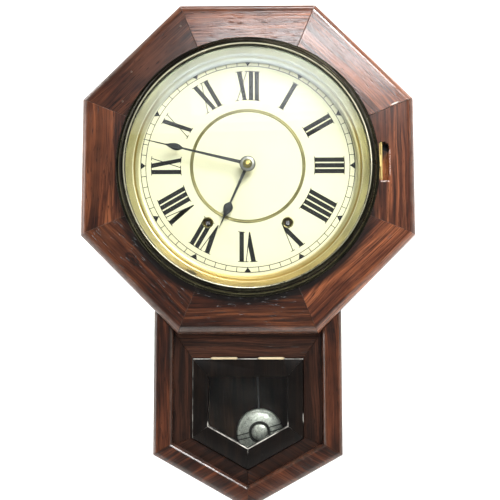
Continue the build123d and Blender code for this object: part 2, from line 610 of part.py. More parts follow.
def hand_blade(off, turn, hub_r, bulge, tip, root_half, neck_half, thick=0.9):
    """Slim pointed hand with a pear-shaped bulge: bulge is (start, widest, end, half width)."""
    start, widest, end, half = bulge
    with BuildSketch(hand_plane(off, turn)) as blade:
        Circle(hub_r)
        Polygon((-root_half, 0), (root_half, 0), (neck_half, start + 1), (-neck_half, start + 1))
        with BuildLine():
            Spline((0, start), (half, widest), (1.0, end), tangents=((1, 0), (-0.35, 1)))
            Line((1.0, end), (-1.0, end))
            Spline((-1.0, end), (-half, widest), (0, start), tangents=((-0.35, -1), (1, 0)))
        make_face()
        Polygon((-1.5, end - 1.5), (1.5, end - 1.5), (0.35, tip), (-0.35, tip))
    extrude(blade.sketch, amount=thick)


with BuildPart() as hour_hand:
    hand_blade(HOUR_HAND_OFF, HOUR_TURN, 7.5, (54.5, 61, 77, 6.2), 92, 2.6, 1.2)
    disc(CENTRE, 5.05, HOUR_HAND_OFF, 1, mode=Mode.SUBTRACT)
save(hour_hand, "hour_hand")

with BuildPart() as minute_hand:
    hand_blade(MINUTE_HAND_OFF, MINUTE_TURN, 10.3, (86.5, 95.5, 113, 4.6), 139.5, 2.6, 1.2)
    disc(CENTRE, 2.02, MINUTE_HAND_OFF, 1, mode=Mode.SUBTRACT)
save(minute_hand, "minute_hand")

# Domed brass nut that holds the minute hand
with BuildPart() as hand_nut:
    nut_off = MINUTE_HAND_OFF + 0.9
    with BuildSketch(Plane(origin=(0, 0, DIAL_Z), x_dir=(1, 0, 0), z_dir=(0, 0, -1))) as nut_profile:
        with BuildLine():
            Polyline((2.02, nut_off), (6.2, nut_off), (6.2, nut_off + 1.0))
            ThreePointArc((6.2, nut_off + 1.0), (4.9, nut_off + 3.2), (2.02, nut_off + 4.2))
            Line((2.02, nut_off + 4.2), (2.02, nut_off))
        make_face()
    revolve(axis=Axis((0, 0, DIAL_Z), (0, -1, 0)))
save(hand_nut, "hand_nut")

# =====================================================================  movement frame
plate_outline = [(-92, 70), (92, 70), (92, -60), (92, -104), (84, -112), (-84, -112), (-92, -104), (-92, -60)]
plate_windows = [((-80, -56), (20, 62)), ((26, 60), (44, 62)), ((60, 80), (-14, 36)), ((-13, 13), (-90, -44))]
running_holes = [(PALLET, 1.2), (ESCAPE, 0.8), (THIRD, 0.8), (SECOND, 0.8), (PIN_WHEEL, 0.8), (WARNING, 0.8),
                 (FLY, 0.8)]


def plate(off):
    """Brass plate with its windows and pivot holes."""
    slab(plate_outline, off, PLATE_THICK, level=DIAL_Z)
    for across, heights in plate_windows:
        block(across, (off, off + PLATE_THICK), heights, DIAL_Z, Mode.SUBTRACT)
    for place, radius in running_holes:
        disc(place, radius + FIT, off, PLATE_THICK, mode=Mode.SUBTRACT)
    for place in PILLARS:
        disc(place, 2.02, off, PLATE_THICK, mode=Mode.SUBTRACT)


with BuildPart() as movement_back_plate:
    plate(BACK_PLATE)
    for place, radius in ((CENTRE, 1.0), (TIME_GREAT, 1.5), (STRIKE_GREAT, 1.5), (HAMMER, 1.2)):
        disc(place, radius + FIT, BACK_PLATE, PLATE_THICK, mode=Mode.SUBTRACT)
save(movement_back_plate, "movement_back_plate")

with BuildPart() as movement_front_plate:
    plate(FRONT_PLATE)
    for x, z in EARS:
        block((min(x * 0.92, x * 1.09), max(x * 0.92, x * 1.09)), (FRONT_PLATE, FRONT_PLATE + PLATE_THICK),
              (z - 8, z + 8), DIAL_Z)
        disc((x, z), 2.0, FRONT_PLATE, PLATE_THICK, mode=Mode.SUBTRACT)
    for place, radius in ((CENTRE, 2.0), (TIME_GREAT, 3.0), (STRIKE_GREAT, 3.0), (HAMMER, 0.8)):
        disc(place, radius + FIT, FRONT_PLATE, PLATE_THICK, mode=Mode.SUBTRACT)
    disc(MINUTE, 0.9 + FIT, FRONT_PLATE, PLATE_THICK, mode=Mode.SUBTRACT)
save(movement_front_plate, "movement_front_plate")

with BuildPart() as plate_pillars:
    for place in PILLARS:
        disc(place, 3.5, BACK_PLATE + PLATE_THICK, FRONT_PLATE - BACK_PLATE - PLATE_THICK)
        disc(place, 2.0, BACK_PLATE, FRONT_PLATE - BACK_PLATE + 5)
save(plate_pillars, "plate_pillars")

with BuildPart() as pillar_nuts:
    for x, z in PILLARS:
        with BuildSketch(front(FRONT_PLATE + PLATE_THICK, x, DIAL_Z + z)) as hexagon:
            RegularPolygon(3.5, 6, major_radius=False)
            Circle(2.02, mode=Mode.SUBTRACT)
        extrude(amount=2.4)
save(pillar_nuts, "pillar_nuts")

with BuildPart() as suspension_cock:
    block((-8, 8), (24, BACK_PLATE), (PALLET[1] + 5, PALLET[1] + 12), DIAL_Z)
    block((-1.6, 1.6), (24, 34), (PALLET[1] + 5, PALLET[1] + 12), DIAL_Z, Mode.SUBTRACT)
save(suspension_cock, "suspension_cock")

with BuildPart() as gong_stand:
    block((-17, 17), (BACK_THICK, 11), (GONG_Z - 17, GONG_Z + 17), DIAL_Z)
    fillet(gong_stand.edges().filter_by(Axis.Y), 5)
    disc((0, GONG_Z), 5, 11, 9)
    for z in (-12, 12):
        disc((0, GONG_Z + z), 1.9, BACK_THICK, 3, mode=Mode.SUBTRACT)
save(gong_stand, "gong_stand")

with BuildPart() as gong_coil:
    slab(ribbon(coil((0, GONG_Z), 4.4, 45, 4.5, 0), 2.4), 14, 3, level=DIAL_Z)
save(gong_coil, "gong_coil")

# Mainsprings: wound strips, each with its outer end looped round a pillar
spiral = coil(TIME_GREAT, 6.0, 29, 8, radians(2))
loop = [away(PILLARS[2], 4.2, 180 - 30 * k) for k in range(8)]
for side, node in ((1, "time_mainspring"), (-1, "strike_mainspring")):
    with BuildPart() as mainspring:
        slab(ribbon([(side * x, z) for x, z in spiral + loop], 0.8), 45, 16, level=DIAL_Z)
    save(mainspring, node)

# =====================================================================  time train
phase_centre_pinion = 0.0
phase_second = meshed(phase_centre_pinion, CENTRE_PINION, CENTRE, SECOND_TEETH, SECOND)
phase_time_great = meshed(0.0, GREAT_PINION, SECOND, GREAT_TEETH, TIME_GREAT)
phase_third_pinion = meshed(0.0, CENTRE_TEETH, CENTRE, THIRD_PINION, THIRD)
phase_escape_pinion = meshed(0.0, THIRD_TEETH, THIRD, ESCAPE_PINION, ESCAPE)
phase_minute_wheel = meshed(0.0, CANNON_TEETH, CENTRE, MINUTE_TEETH, MINUTE)
phase_hour_wheel = meshed(0.0, MINUTE_PINION, MINUTE, HOUR_TEETH, CENTRE)

with BuildPart() as centre_wheel:
    gear(CENTRE, CENTRE_TEETH, CENTRE_MOD, 56, 1.5, 0.0)
    crossings(CENTRE, 6, 19, 5, 3, 56, 1.5)
    gear(CENTRE, CENTRE_PINION, SECOND_MOD, 63, 4, phase_centre_pinion)
    disc(CENTRE, 2.0, BACK_PLATE + 2.4, MINUTE_HAND_OFF + 5.4 - BACK_PLATE - 2.4)
    disc(CENTRE, 1.0, BACK_PLATE, 3)
save(centre_wheel, "centre_wheel")

with BuildPart() as cannon_pinion:
    gear(CENTRE, CANNON_TEETH, CANNON_MOD, 73.5, 3, 0.0)
    disc(CENTRE, 3.0, 76.5, MINUTE_HAND_OFF - 76.5)
    disc(CENTRE, 2.02, 73, 30, mode=Mode.SUBTRACT)
save(cannon_pinion, "cannon_pinion")

with BuildPart() as minute_wheel:
    gear(MINUTE, MINUTE_TEETH, CANNON_MOD, 74, 1.5, phase_minute_wheel)
    gear(MINUTE, MINUTE_PINION, HOUR_MOD, 75.5, 5, 0.0)
    disc(MINUTE, 0.9, FRONT_PLATE, 13)
save(minute_wheel, "minute_wheel")

with BuildPart() as hour_wheel:
    gear(CENTRE, HOUR_TEETH, HOUR_MOD, 78, 1.5, phase_hour_wheel)
    disc(CENTRE, 5.0, 78, HOUR_HAND_OFF + 1.5 - 78)
    disc(CENTRE, 3.06, 77, 25, mode=Mode.SUBTRACT)
save(hour_wheel, "hour_wheel")

with BuildPart() as second_wheel:
    gear(SECOND, SECOND_TEETH, SECOND_MOD, 64, 2, phase_second)
    crossings(SECOND, 8, 31.5, 5, 5, 64, 2)
    gear(SECOND, GREAT_PINION, GREAT_MOD, 39.5, 4, 0.0)
    arbor(SECOND, 2.0)
save(second_wheel, "second_wheel")


def great_wheel(place, phase):
    """Great wheel with its click and click spring, free on the winding arbor."""
    gear(place, GREAT_TEETH, GREAT_MOD, 40.5, 2, phase)
    crossings(place, 16.5, 31, 5, 6, 40.5, 2)
    x, z = place
    slab([(x + 4, z + 10.8), (x + 1, z + 9.6), (x - 3, z + 11), (x - 11, z + 6.2), (x - 11.8, z + 7.2),
          (x - 3, z + 13.5), (x + 3, z + 13.5)], 42, 2, level=DIAL_Z)
    disc(place, 3.0 + FIT, 40, 5, mode=Mode.SUBTRACT)


def winding_arbor(place):
    """Arbor with its ratchet, spring hub and winding square."""
    disc(place, 1.5, BACK_PLATE, 3)
    disc(place, 3.0, BACK_PLATE + 2.4, 75 - BACK_PLATE - 2.4)
    ratchet = []
    for tooth in range(18):
        angle = 2 * pi * tooth / 18
        ratchet += [(place[0] + 8.6 * cos(angle), place[1] + 8.6 * sin(angle)),
                    (place[0] + 7.0 * cos(angle + 0.05), place[1] + 7.0 * sin(angle + 0.05))]
    slab(ratchet, 42.8, 1.4, level=DIAL_Z)
    disc(place, 5.2, 45.2, 15.6)
    with BuildSketch(front(75, place[0], DIAL_Z + place[1])) as square:
        Rectangle(4.8, 4.8)
    extrude(square.sketch, amount=8.5)


with BuildPart() as time_great_wheel:
    great_wheel(TIME_GREAT, phase_time_great)
save(time_great_wheel, "time_great_wheel")

with BuildPart() as time_winding_arbor:
    winding_arbor(TIME_GREAT)
save(time_winding_arbor, "time_winding_arbor")

with BuildPart() as third_wheel:
    gear(THIRD, THIRD_TEETH, THIRD_MOD, 49, 1.5, 0.0)
    crossings(THIRD, 5, 19, 5, 2.6, 49, 1.5)
    gear(THIRD, THIRD_PINION, CENTRE_MOD, 54.5, 5, phase_third_pinion)
    arbor(THIRD, 1.2)
save(third_wheel, "third_wheel")

# Escape wheel: straight-faced teeth that lean against the turn
with BuildPart() as escape_wheel:
    rim_points = []
    for tooth in range(ESCAPE_TEETH):
        angle = 360 * tooth / ESCAPE_TEETH
        for depth, lead in ((0.0, 0.0), (0.0, 1.7), (3.2, 5.7), (3.2, 9.2)):
            rim_points.append(away(ESCAPE, ESCAPE_R - depth, angle + lead))
    slab(rim_points, 42, 1.2, level=DIAL_Z)
    crossings(ESCAPE, 4.5, 12.5, 5, 2.4, 42, 1.2)
    gear(ESCAPE, ESCAPE_PINION, THIRD_MOD, 47.5, 5, phase_escape_pinion)
    arbor(ESCAPE, 1.1)
save(escape_wheel, "escape_wheel")


# =====================================================================  pendulum
def swung(off):
    """Plane of the swinging pieces: local Y runs up the rod from the suspension point."""
    return Plane(origin=(PALLET[0], -off, DIAL_Z + PALLET[1]), x_dir=(cos(SWING), 0, sin(SWING)),
                 z_dir=(0, -1, 0))


def swung_slab(points, off, thick, mode=Mode.ADD):
    """Flat piece in the swinging plane."""
    with BuildSketch(swung(off)) as face:
        Polygon(*points)
    extrude(face.sketch, amount=thick, mode=mode)


def rod_plane(down, off=PENDULUM_OFF):
    """Plane across the rod, looking up it."""
    return Plane(origin=(PALLET[0] + down * sin(SWING), -off, DIAL_Z + PALLET[1] - down * cos(SWING)),
                 x_dir=(cos(SWING), 0, sin(SWING)), z_dir=(-sin(SWING), 0, cos(SWING)))


def oblong(half, low, high):
    """Upright rectangle outline."""
    return [(-half, low), (half, low), (half, high), (-half, high)]


# Recoil anchor, its arbor, and the crutch that drives the rod
with BuildPart() as verge:
    swung_slab([(-20, -13), (-20, -6), (-9, 3), (9, 3), (20, -6), (20, -13), (13, -16), (-13, -16)],
               40.6, 3.8)
    pallet_gap = ESCAPE_R + 2.6
    with BuildSketch(front(40.6, ESCAPE[0], DIAL_Z + ESCAPE[1])) as wheel_room:
        Circle(pallet_gap)
    extrude(amount=3.8, mode=Mode.SUBTRACT)
    disc(PALLET, 1.2, 32, 40)
    disc(PALLET, 3.6, 32, 3)
    swung_slab(oblong(1.5, -62, 0), 33, 1.2)
    swung_slab(oblong(3.2, -62, -57), 33, 1.2)
    for side in (-1, 1):
        low, high = sorted((side * 1.8, side * 3.2))
        swung_slab([(low, -62), (high, -62), (high, -57), (low, -57)], 25, 8.5)
save(verge, "verge")

with BuildPart() as pendulum_rod:
    swung_slab(oblong(0.15, -16, 12.6), PENDULUM_OFF - 3, 6)
    swung_slab(oblong(2.4, -22, -13), PENDULUM_OFF - 3, 6)
    with Locations(swung(22)):
        with Locations((0, 13.3)):
            Cylinder(1.0, 12, align=LOW)
    with Locations(rod_plane(PENDULUM_LONG + BOB_R + 22)):
        Cylinder(1.5, PENDULUM_LONG + BOB_R + 4, align=LOW)
save(pendulum_rod, "pendulum_rod")

bob_centre = (PALLET[0] + PENDULUM_LONG * sin(SWING), PALLET[1] - PENDULUM_LONG * cos(SWING))
with BuildPart() as pendulum_bob:
    bob_plane = Plane(origin=(bob_centre[0], 0, DIAL_Z + bob_centre[1]), x_dir=(1, 0, 0), z_dir=(0, 0, -1))
    mid = PENDULUM_OFF
    with BuildSketch(bob_plane) as bob_profile:
        with BuildLine():
            ThreePointArc((0, mid + 8.2), (6, mid + 7.9), (10.6, mid + 7.2))
            Polyline((10.6, mid + 7.2), (11.4, mid + 5.2), (13.2, mid + 5.2), (13.8, mid + 6.3))
            ThreePointArc((13.8, mid + 6.3), (23, mid + 4.3), (BOB_R, mid + 0.8))
            Line((BOB_R, mid + 0.8), (BOB_R, mid - 0.8))
            ThreePointArc((BOB_R, mid - 0.8), (17, mid - 5.4), (0, mid - 7))
            Line((0, mid - 7), (0, mid + 8.2))
        make_face()
    revolve(axis=Axis((bob_centre[0], 0, DIAL_Z + bob_centre[1]), (0, -1, 0)))
    with Locations(rod_plane(PENDULUM_LONG + BOB_R + 5)):
        Cylinder(1.55, 2 * BOB_R + 10, align=LOW, mode=Mode.SUBTRACT)
save(pendulum_bob, "pendulum_bob")

with BuildPart() as rating_nut:
    with Locations(rod_plane(PENDULUM_LONG + BOB_R + 8)):
        Cylinder(5.5, 5, align=LOW)
        Cylinder(3.2, 7.4, align=LOW)
        Cylinder(1.55, 9, align=LOW, mode=Mode.SUBTRACT)
save(rating_nut, "rating_nut")

# =====================================================================  strike train
phase_strike_great = meshed(0.0, GREAT_PINION, PIN_WHEEL, GREAT_TEETH, STRIKE_GREAT)
phase_warning_pinion = meshed(0.0, PIN_TEETH, PIN_WHEEL, WARNING_PINION, WARNING)
phase_fly_pinion = meshed(0.0, WARNING_TEETH, WARNING, FLY_PINION, FLY)

with BuildPart() as strike_great_wheel:
    great_wheel(STRIKE_GREAT, phase_strike_great)
save(strike_great_wheel, "strike_great_wheel")

with BuildPart() as strike_winding_arbor:
    winding_arbor(STRIKE_GREAT)
save(strike_winding_arbor, "strike_winding_arbor")

with BuildPart() as strike_pin_wheel:
    gear(PIN_WHEEL, PIN_TEETH, PIN_MOD, 64, 2, 0.0)
    crossings(PIN_WHEEL, 7, 17.5, 5, 4, 64, 2)
    gear(PIN_WHEEL, GREAT_PINION, GREAT_MOD, 39.5, 4, 0.0)
    arbor(PIN_WHEEL, 2.0)
    for k in range(8):
        disc(away(PIN_WHEEL, 20, 45 * k), 0.8, 61.8, 3)
save(strike_pin_wheel, "strike_pin_wheel")

with BuildPart() as warning_wheel:
    gear(WARNING, WARNING_TEETH, WARNING_MOD, 49, 1.5, 0.0)
    crossings(WARNING, 5, 15, 5, 2.6, 49, 1.5)
    gear(WARNING, WARNING_PINION, PIN_MOD, 62.5, 5, phase_warning_pinion)
    arbor(WARNING, 1.2)
save(warning_wheel, "warning_wheel")

with BuildPart() as fly:
    gear(FLY, FLY_PINION, WARNING_MOD, 47.5, 5, phase_fly_pinion)
    block((FLY[0] - 13.5, FLY[0] + 13.5), (54, 66), (FLY[1] - 0.3, FLY[1] + 0.3), DIAL_Z)
    disc(FLY, 2.0, 54, 12)
    arbor(FLY, 1.1)
save(fly, "fly")

# Hammer: lifting tail between the plates, bent wire and head behind them
with BuildPart() as hammer:
    disc(HAMMER, 1.2, 32, 37.6)
    disc(HAMMER, 0.8, 60, 12)
    tail_tip = third_corner(HAMMER, 57, PIN_WHEEL, 24.4, 1)
    tail = ribbon([HAMMER, tail_tip], 3)
    slab(tail, 62.2, 1.2, level=DIAL_Z)
    disc(HAMMER, 3, 62.2, 1.2)
    wire([(HAMMER[0], 33.2, HAMMER[1]), (-72, 33.2, -148), (-60, 15.5, -172), (-58, 15.5, -190)], 1.2)
    disc(HAMMER, 2.6, 32, 3)
    lengthwise((-65, -15.5, DIAL_Z - 190), (1, 0, 0), 5, 14)
save(hammer, "hammer")
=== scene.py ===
import json
import math

import bmesh
import bpy
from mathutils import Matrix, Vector


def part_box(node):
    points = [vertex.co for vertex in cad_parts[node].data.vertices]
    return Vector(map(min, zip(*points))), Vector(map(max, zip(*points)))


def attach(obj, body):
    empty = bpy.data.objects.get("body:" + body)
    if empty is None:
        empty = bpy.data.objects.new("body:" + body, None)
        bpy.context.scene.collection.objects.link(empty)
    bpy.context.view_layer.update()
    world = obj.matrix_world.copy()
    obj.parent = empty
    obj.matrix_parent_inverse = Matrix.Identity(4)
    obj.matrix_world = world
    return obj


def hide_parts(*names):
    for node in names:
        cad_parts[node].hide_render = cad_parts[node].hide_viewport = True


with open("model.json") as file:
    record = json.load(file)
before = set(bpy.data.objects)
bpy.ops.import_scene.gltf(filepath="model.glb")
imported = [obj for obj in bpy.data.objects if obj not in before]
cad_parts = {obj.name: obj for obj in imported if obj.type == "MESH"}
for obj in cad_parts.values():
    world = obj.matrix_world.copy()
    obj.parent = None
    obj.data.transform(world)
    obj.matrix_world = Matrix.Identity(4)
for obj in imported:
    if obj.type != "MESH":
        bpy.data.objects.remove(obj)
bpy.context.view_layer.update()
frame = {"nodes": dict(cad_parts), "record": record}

# Lengths are millimetres and angles degrees, but shader nodes work in metres and radians. "off" is the
# distance from the wall, which is -Y.
MM = 0.001


def mm_box(node):
    """A CAD node's box as ((x, x), (off, off), (z, z)) in millimetres, lowest first."""
    low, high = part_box(node)
    return tuple((a / MM, b / MM) for a, b in ((low.x, high.x), (-high.y, -low.y), (low.z, high.z)))


def middle(span):
    return (span[0] + span[1]) / 2


oct_x, oct_off, oct_z = mm_box("octagon_segments")
OCT_Z = middle(oct_z)
OCT_HALF = (oct_x[1] - oct_x[0]) / 2
OCT_BACK, OCT_FRONT = oct_off
OCT_ROUND = 11.0  # quarter round on the front edge
SIDE_TURN = 45.0  # from one side of the octagon to the next
CORNER_TURN = SIDE_TURN / 2
bob_x, bob_off, bob_z = mm_box("pendulum_bob")
BOB_X, BOB_Z, BOB_MID = middle(bob_x), middle(bob_z), bob_off[0] + 7.0
BOB_R = (bob_x[1] - bob_x[0]) / 2
STRAP_TILT, STRAP_HALF = 15.0, 3.0  # embossed strap across the bob
_, dial_off, dial_z = mm_box("dial_plate")
DIAL_Z = middle(dial_z)
DIAL_FRONT = dial_off[1]
door_x, door_off, door_z = mm_box("lower_door_frame")
DOOR_HALF = door_x[1]
DOOR_TOP, DOOR_TIP = door_z[1] - OCT_Z, door_z[0] - OCT_Z
glass_off = mm_box("bezel_glass")[1]
RIM_BACK = glass_off[0] - 2.3
OPENING_R = 160.0  # round opening in the octagon
LEDGE_R = 148.0  # opening in the ledge that the dial lies on
POINT_SLANT = 29.0  # of the pointed bottoms, from the horizontal
SLOPE = math.tan(math.radians(POINT_SLANT))
STRETCH = 1 / math.cos(math.radians(POINT_SLANT))


def at(x, off, z, level=None):
    """Point in metres from millimetres, its height measured from the octagon's centre."""
    return Vector((x * MM, -off * MM, ((OCT_Z if level is None else level) + z) * MM))


def z_at(z):
    """Height in metres of a place measured in millimetres from the octagon's centre."""
    return (OCT_Z + z) * MM


def polar(radius, angle):
    """x and z at a radius and an anticlockwise angle from +X."""
    return radius * math.cos(math.radians(angle)), radius * math.sin(math.radians(angle))


def clock(radius, turn):
    """x and z at a radius and a clockwise angle from twelve."""
    return radius * math.sin(math.radians(turn)), radius * math.cos(math.radians(turn))


# ---------------------------------------------------------------- node trees
class Tree:
    """Builds a material's nodes. Inputs are constants or sockets."""

    def __init__(self, name):
        self.material = bpy.data.materials.new(name)
        self.material.use_nodes = True
        self.links = self.material.node_tree.links
        self.nodes = self.material.node_tree.nodes
        self.nodes.clear()

    def add(self, kind, inputs=None, **settings):
        node = self.nodes.new("ShaderNode" + kind)
        for key, value in settings.items():
            setattr(node, key, value)
        for key, value in (inputs or {}).items():
            socket = node.inputs[key]
            if isinstance(value, bpy.types.NodeSocket):
                self.links.new(value, socket)
            elif isinstance(value, tuple) and socket.type == "RGBA" and len(value) == 3:
                socket.default_value = (*value, 1)
            else:
                socket.default_value = value
        return node

    def place(self):
        return self.add("TexCoord").outputs["Object"]

    def noise(self, vector, scale, detail=4.0, roughness=0.55, distortion=0.0):
        node = self.add("TexNoise", {"Vector": vector, "Scale": scale, "Detail": detail,
                                     "Roughness": roughness, "Distortion": distortion})
        return node.outputs["Fac"]

    def math(self, operation, a, b=0.0, clamp=False):
        node = self.add("Math", {0: a, 1: b}, operation=operation, use_clamp=clamp)
        return node.outputs[0]

    def vector(self, operation, a, b):
        return self.add("VectorMath", {0: a, 1: b}, operation=operation).outputs[0]

    def split(self, vector):
        """The three coordinates of a vector."""
        outputs = self.add("SeparateXYZ", {0: vector}).outputs
        return outputs[0], outputs[1], outputs[2]

    def length(self, vector):
        return self.add("VectorMath", {0: vector}, operation="LENGTH").outputs["Value"]

    def away(self, value, middle):
        """How far a value is from the middle of its range."""
        return self.math("ABSOLUTE", self.math("SUBTRACT", value, middle))

    def turned(self, vector, angle):
        """A vector turned about the axis out of the wall, by radians."""
        return self.add("VectorRotate", {"Vector": vector, "Angle": angle}, rotation_type="Y_AXIS").outputs[0]

    def joined(self, x, y, z):
        return self.add("CombineXYZ", {"X": x, "Y": y, "Z": z}).outputs[0]

    def setting(self, name):
        """A number kept on the object itself."""
        return self.add("Attribute", attribute_type="OBJECT", attribute_name=name).outputs["Fac"]

    def span(self, value, low, high, to_low=0.0, to_high=1.0):
        node = self.add("MapRange", {"Value": value, "From Min": low, "From Max": high,
                                     "To Min": to_low, "To Max": to_high})
        return node.outputs[0]

    def ramp(self, value, *stops):
        node = self.add("ValToRGB", {"Fac": value})
        elements = node.color_ramp.elements
        while len(elements) < len(stops):
            elements.new(0.5)
        for element, (position, colour) in zip(elements, stops):
            element.position = position
            element.color = (*colour, 1)
        return node.outputs["Color"]

    def mix(self, share, a, b, blend="MIX"):
        node = self.add("Mix", {0: share, 6: a, 7: b}, data_type="RGBA", blend_type=blend)
        return node.outputs[2]

    def bump(self, height, strength, distance, normal=None):
        inputs = {"Height": height, "Strength": strength, "Distance": distance * MM}
        if normal is not None:
            inputs["Normal"] = normal
        return self.add("Bump", inputs).outputs["Normal"]

    def shade(self, **inputs):
        named = {key.replace("_", " "): value for key, value in inputs.items()}
        shader = self.add("BsdfPrincipled", named)
        output = self.add("OutputMaterial", {"Surface": shader.outputs[0]})
        return shader, output


def srgb(red, green, blue):
    """Linear colour from 0 to 255 display values."""
    def linear(value):
        value /= 255
        return value / 12.92 if value < 0.04045 else ((value + 0.055) / 1.055) ** 2.4
    return linear(red), linear(green), linear(blue)


def flat_offset(t, place, x, z):
    """Offset in metres from an x and z in millimetres, in the plane of the clock's face."""
    return t.vector("MULTIPLY", t.vector("SUBTRACT", place, (x * MM, 0.0, z * MM)), (1.0, 0.0, 1.0))


def pale_edge_share(t, place, share):
    """How far the rounded front edges are painted pale: rubbed wear, and on the door painted highlight as
    well.
    """
    normal = t.add("TexCoord").outputs["Normal"]
    facing = t.math("ABSOLUTE", t.split(normal)[1])
    edge = t.math("MULTIPLY", t.span(facing, 0.12, 0.4), t.span(facing, 0.985, 0.93))
    patchy = t.span(t.noise(place, 70.0, 4.0, 0.65), 0.36, 0.62, 0.15 * share, share)
    return t.math("MULTIPLY", edge, patchy)


def door_wear_and_highlight(t, place):
    """Where the door's edges are painted near white, as rubbed wood and as painted highlight: its top edge,
    the window's point, and a little down its left side.
    """
    x, _, z = t.split(place)
    top = t.span(z, z_at(DOOR_TOP - 1.4), z_at(DOOR_TOP - 0.9))
    from_point = t.math("SUBTRACT", z, t.math("MULTIPLY", t.math("ABSOLUTE", x), SLOPE))
    above = t.span(from_point, z_at(DOOR_TIP + 19), z_at(DOOR_TIP + 22))
    below = t.span(from_point, z_at(DOOR_TIP + 32), z_at(DOOR_TIP + 29))
    left = t.span(x, (1.8 - DOOR_HALF) * MM, (1.0 - DOOR_HALF) * MM, 0.0, 0.4)
    return t.math("MAXIMUM", t.math("MAXIMUM", top, t.math("MULTIPLY", above, below)), left)


def wood(name, dark, mid, light, gloss=0.3, coat=1.0, streak=1.0, pores=1.0, worn=None, marks=None):
    """Varnished veneer. The object's grain turn, seed and shade attributes set its angle, place and shade;
    the shade is partly the wood's own colour and partly painted light.
    """
    t = Tree(name)
    seed, tone_and_light = t.setting("grain_seed"), t.setting("grain_tone_and_light")
    shift = t.joined(seed, t.math("MULTIPLY", seed, 0.37), t.math("MULTIPLY", seed, 1.71))
    board = t.vector("ADD", t.turned(t.place(), t.setting("grain_turn")), shift)
    bend = t.noise(t.vector("MULTIPLY", board, (5.0, 14.0, 14.0)), 1.0, 2.0)
    swayed = t.vector("ADD", board, t.joined(0.0, 0.0, t.span(bend, 0, 1, -0.012, 0.012)))
    figure = t.noise(t.vector("MULTIPLY", swayed, (5.0, 95.0, 95.0)), 1.0, 5.0, 0.65, 0.5)
    lines = t.noise(t.vector("MULTIPLY", swayed, (15.0, 620.0, 620.0)), 1.0, 4.0, 0.7, 0.2)
    dashes = t.noise(t.vector("MULTIPLY", swayed, (75.0, 640.0, 640.0)), 1.0, 2.0, 0.5)
    patches = t.noise(t.vector("MULTIPLY", board, (9.0, 16.0, 16.0)), 1.0, 3.0, 0.6)
    body = t.ramp(t.span(figure, 0.28, 0.74), (0.0, dark), (0.42, mid), (0.75, light), (1.0, mid))
    body = t.mix(t.span(lines, 0.43, 0.6, 0.0, 0.8 * streak), body, dark)
    body = t.mix(t.span(patches, 0.5, 0.8, 0.0, 0.45), body, light)
    pore = t.span(dashes, 0.62, 0.72)
    body = t.mix(t.math("MULTIPLY", pore, 0.75 * pores), body, (dark[0] * 0.3, dark[1] * 0.3, dark[2] * 0.3))
    # Each piece's shade, partly its own and partly painted light
    body = t.vector("MULTIPLY", body, t.joined(tone_and_light, tone_and_light, tone_and_light))
    if marks:
        body = marks(t, t.place(), body)
    # Pale rounded edges: rubbed wear, and on the door also painted highlight
    if worn:
        share = pale_edge_share(t, board, worn[1])
        if len(worn) > 2:
            share = t.math("MULTIPLY", share, worn[2](t, t.place()))
        body = t.mix(share, body, worn[0])
    rough = t.span(t.math("ADD", lines, t.noise(board, 60.0, 3.0)), 0.7, 1.3, gloss, gloss + 0.22)
    grain_bump = t.bump(t.math("SUBTRACT", lines, pore), 0.36, 0.3)
    waves = t.bump(t.noise(t.vector("MULTIPLY", board, (14.0, 60.0, 60.0)), 1.0, 2.0), 0.10, 0.6, grain_bump)
    t.shade(Base_Color=body, Roughness=rough, Normal=waves, Specular_IOR_Level=0.15, Coat_Weight=coat,
            Coat_Roughness=0.13, Coat_IOR=1.5, Coat_Normal=waves)
    return t.material


# Marks by x and z from the octagon's centre
MORTISE = ((169.6, 182.0), (93.0, 111.0), (-19.5, 30.5))  # x, off and z of the bezel hinge's pocket
KNOT = (-146.5, -121.0)
NAILS = ((-87.5, 185.6), (-151.1, 124.5), (-162.2, 85.0), (101.0, 178.0))
# Where a glint is painted on the open mitre's edge
MITRE_GLINT = (190.4, 81.0)
DENT = (-71.0, -137.5)


def spot(t, place, centre, along, across, turn):
    """Distance from a spot on the octagon's face, 1 on an ellipse of those half lengths."""
    offset = t.vector("SUBTRACT", place, tuple(at(centre[0], OCT_FRONT, centre[1])))
    turned = t.turned(offset, math.radians(turn))
    return t.length(t.vector("MULTIPLY", turned, (1 / (along * MM), 0.0, 1 / (across * MM))))


def knot_mark(t, place, body):
    """Dark heart with a darker ring round it."""
    ragged = t.span(t.noise(place, 260.0), 0, 1, -0.35, 0.35)
    knot = t.math("ADD", spot(t, place, KNOT, 10.5, 5.2, 315), ragged)
    ring = t.span(t.away(knot, 0.85), 0.3, 0.05)
    body = t.mix(t.math("MULTIPLY", ring, 0.75), body, srgb(22, 12, 9))
    return t.mix(t.span(knot, 0.5, 0.25, 0.0, 0.85), body, srgb(16, 9, 7))


def bezel_painted_shadow(t, place, body):
    """Painted shadow of the bezel on the boards round it, most at the bottom."""
    flat = flat_offset(t, place, 0.0, OCT_Z)
    lower = t.span(t.split(flat)[2], 0.04, -0.12, 0.2, 0.95)
    return t.mix(t.math("MULTIPLY", t.span(t.length(flat), 0.182, 0.175), lower), body, srgb(14, 9, 7))


def nail_heads(t, place, body):
    """Dark nail holes with pale rims."""
    for nail in NAILS:
        near = spot(t, place, nail, 1.0, 1.0, 0)
        body = t.mix(t.span(near, 1.3, 0.9, 0.0, 0.7), body, srgb(170, 140, 118))
        body = t.mix(t.span(near, 0.9, 0.7, 0.0, 0.9), body, srgb(20, 12, 10))
    return body


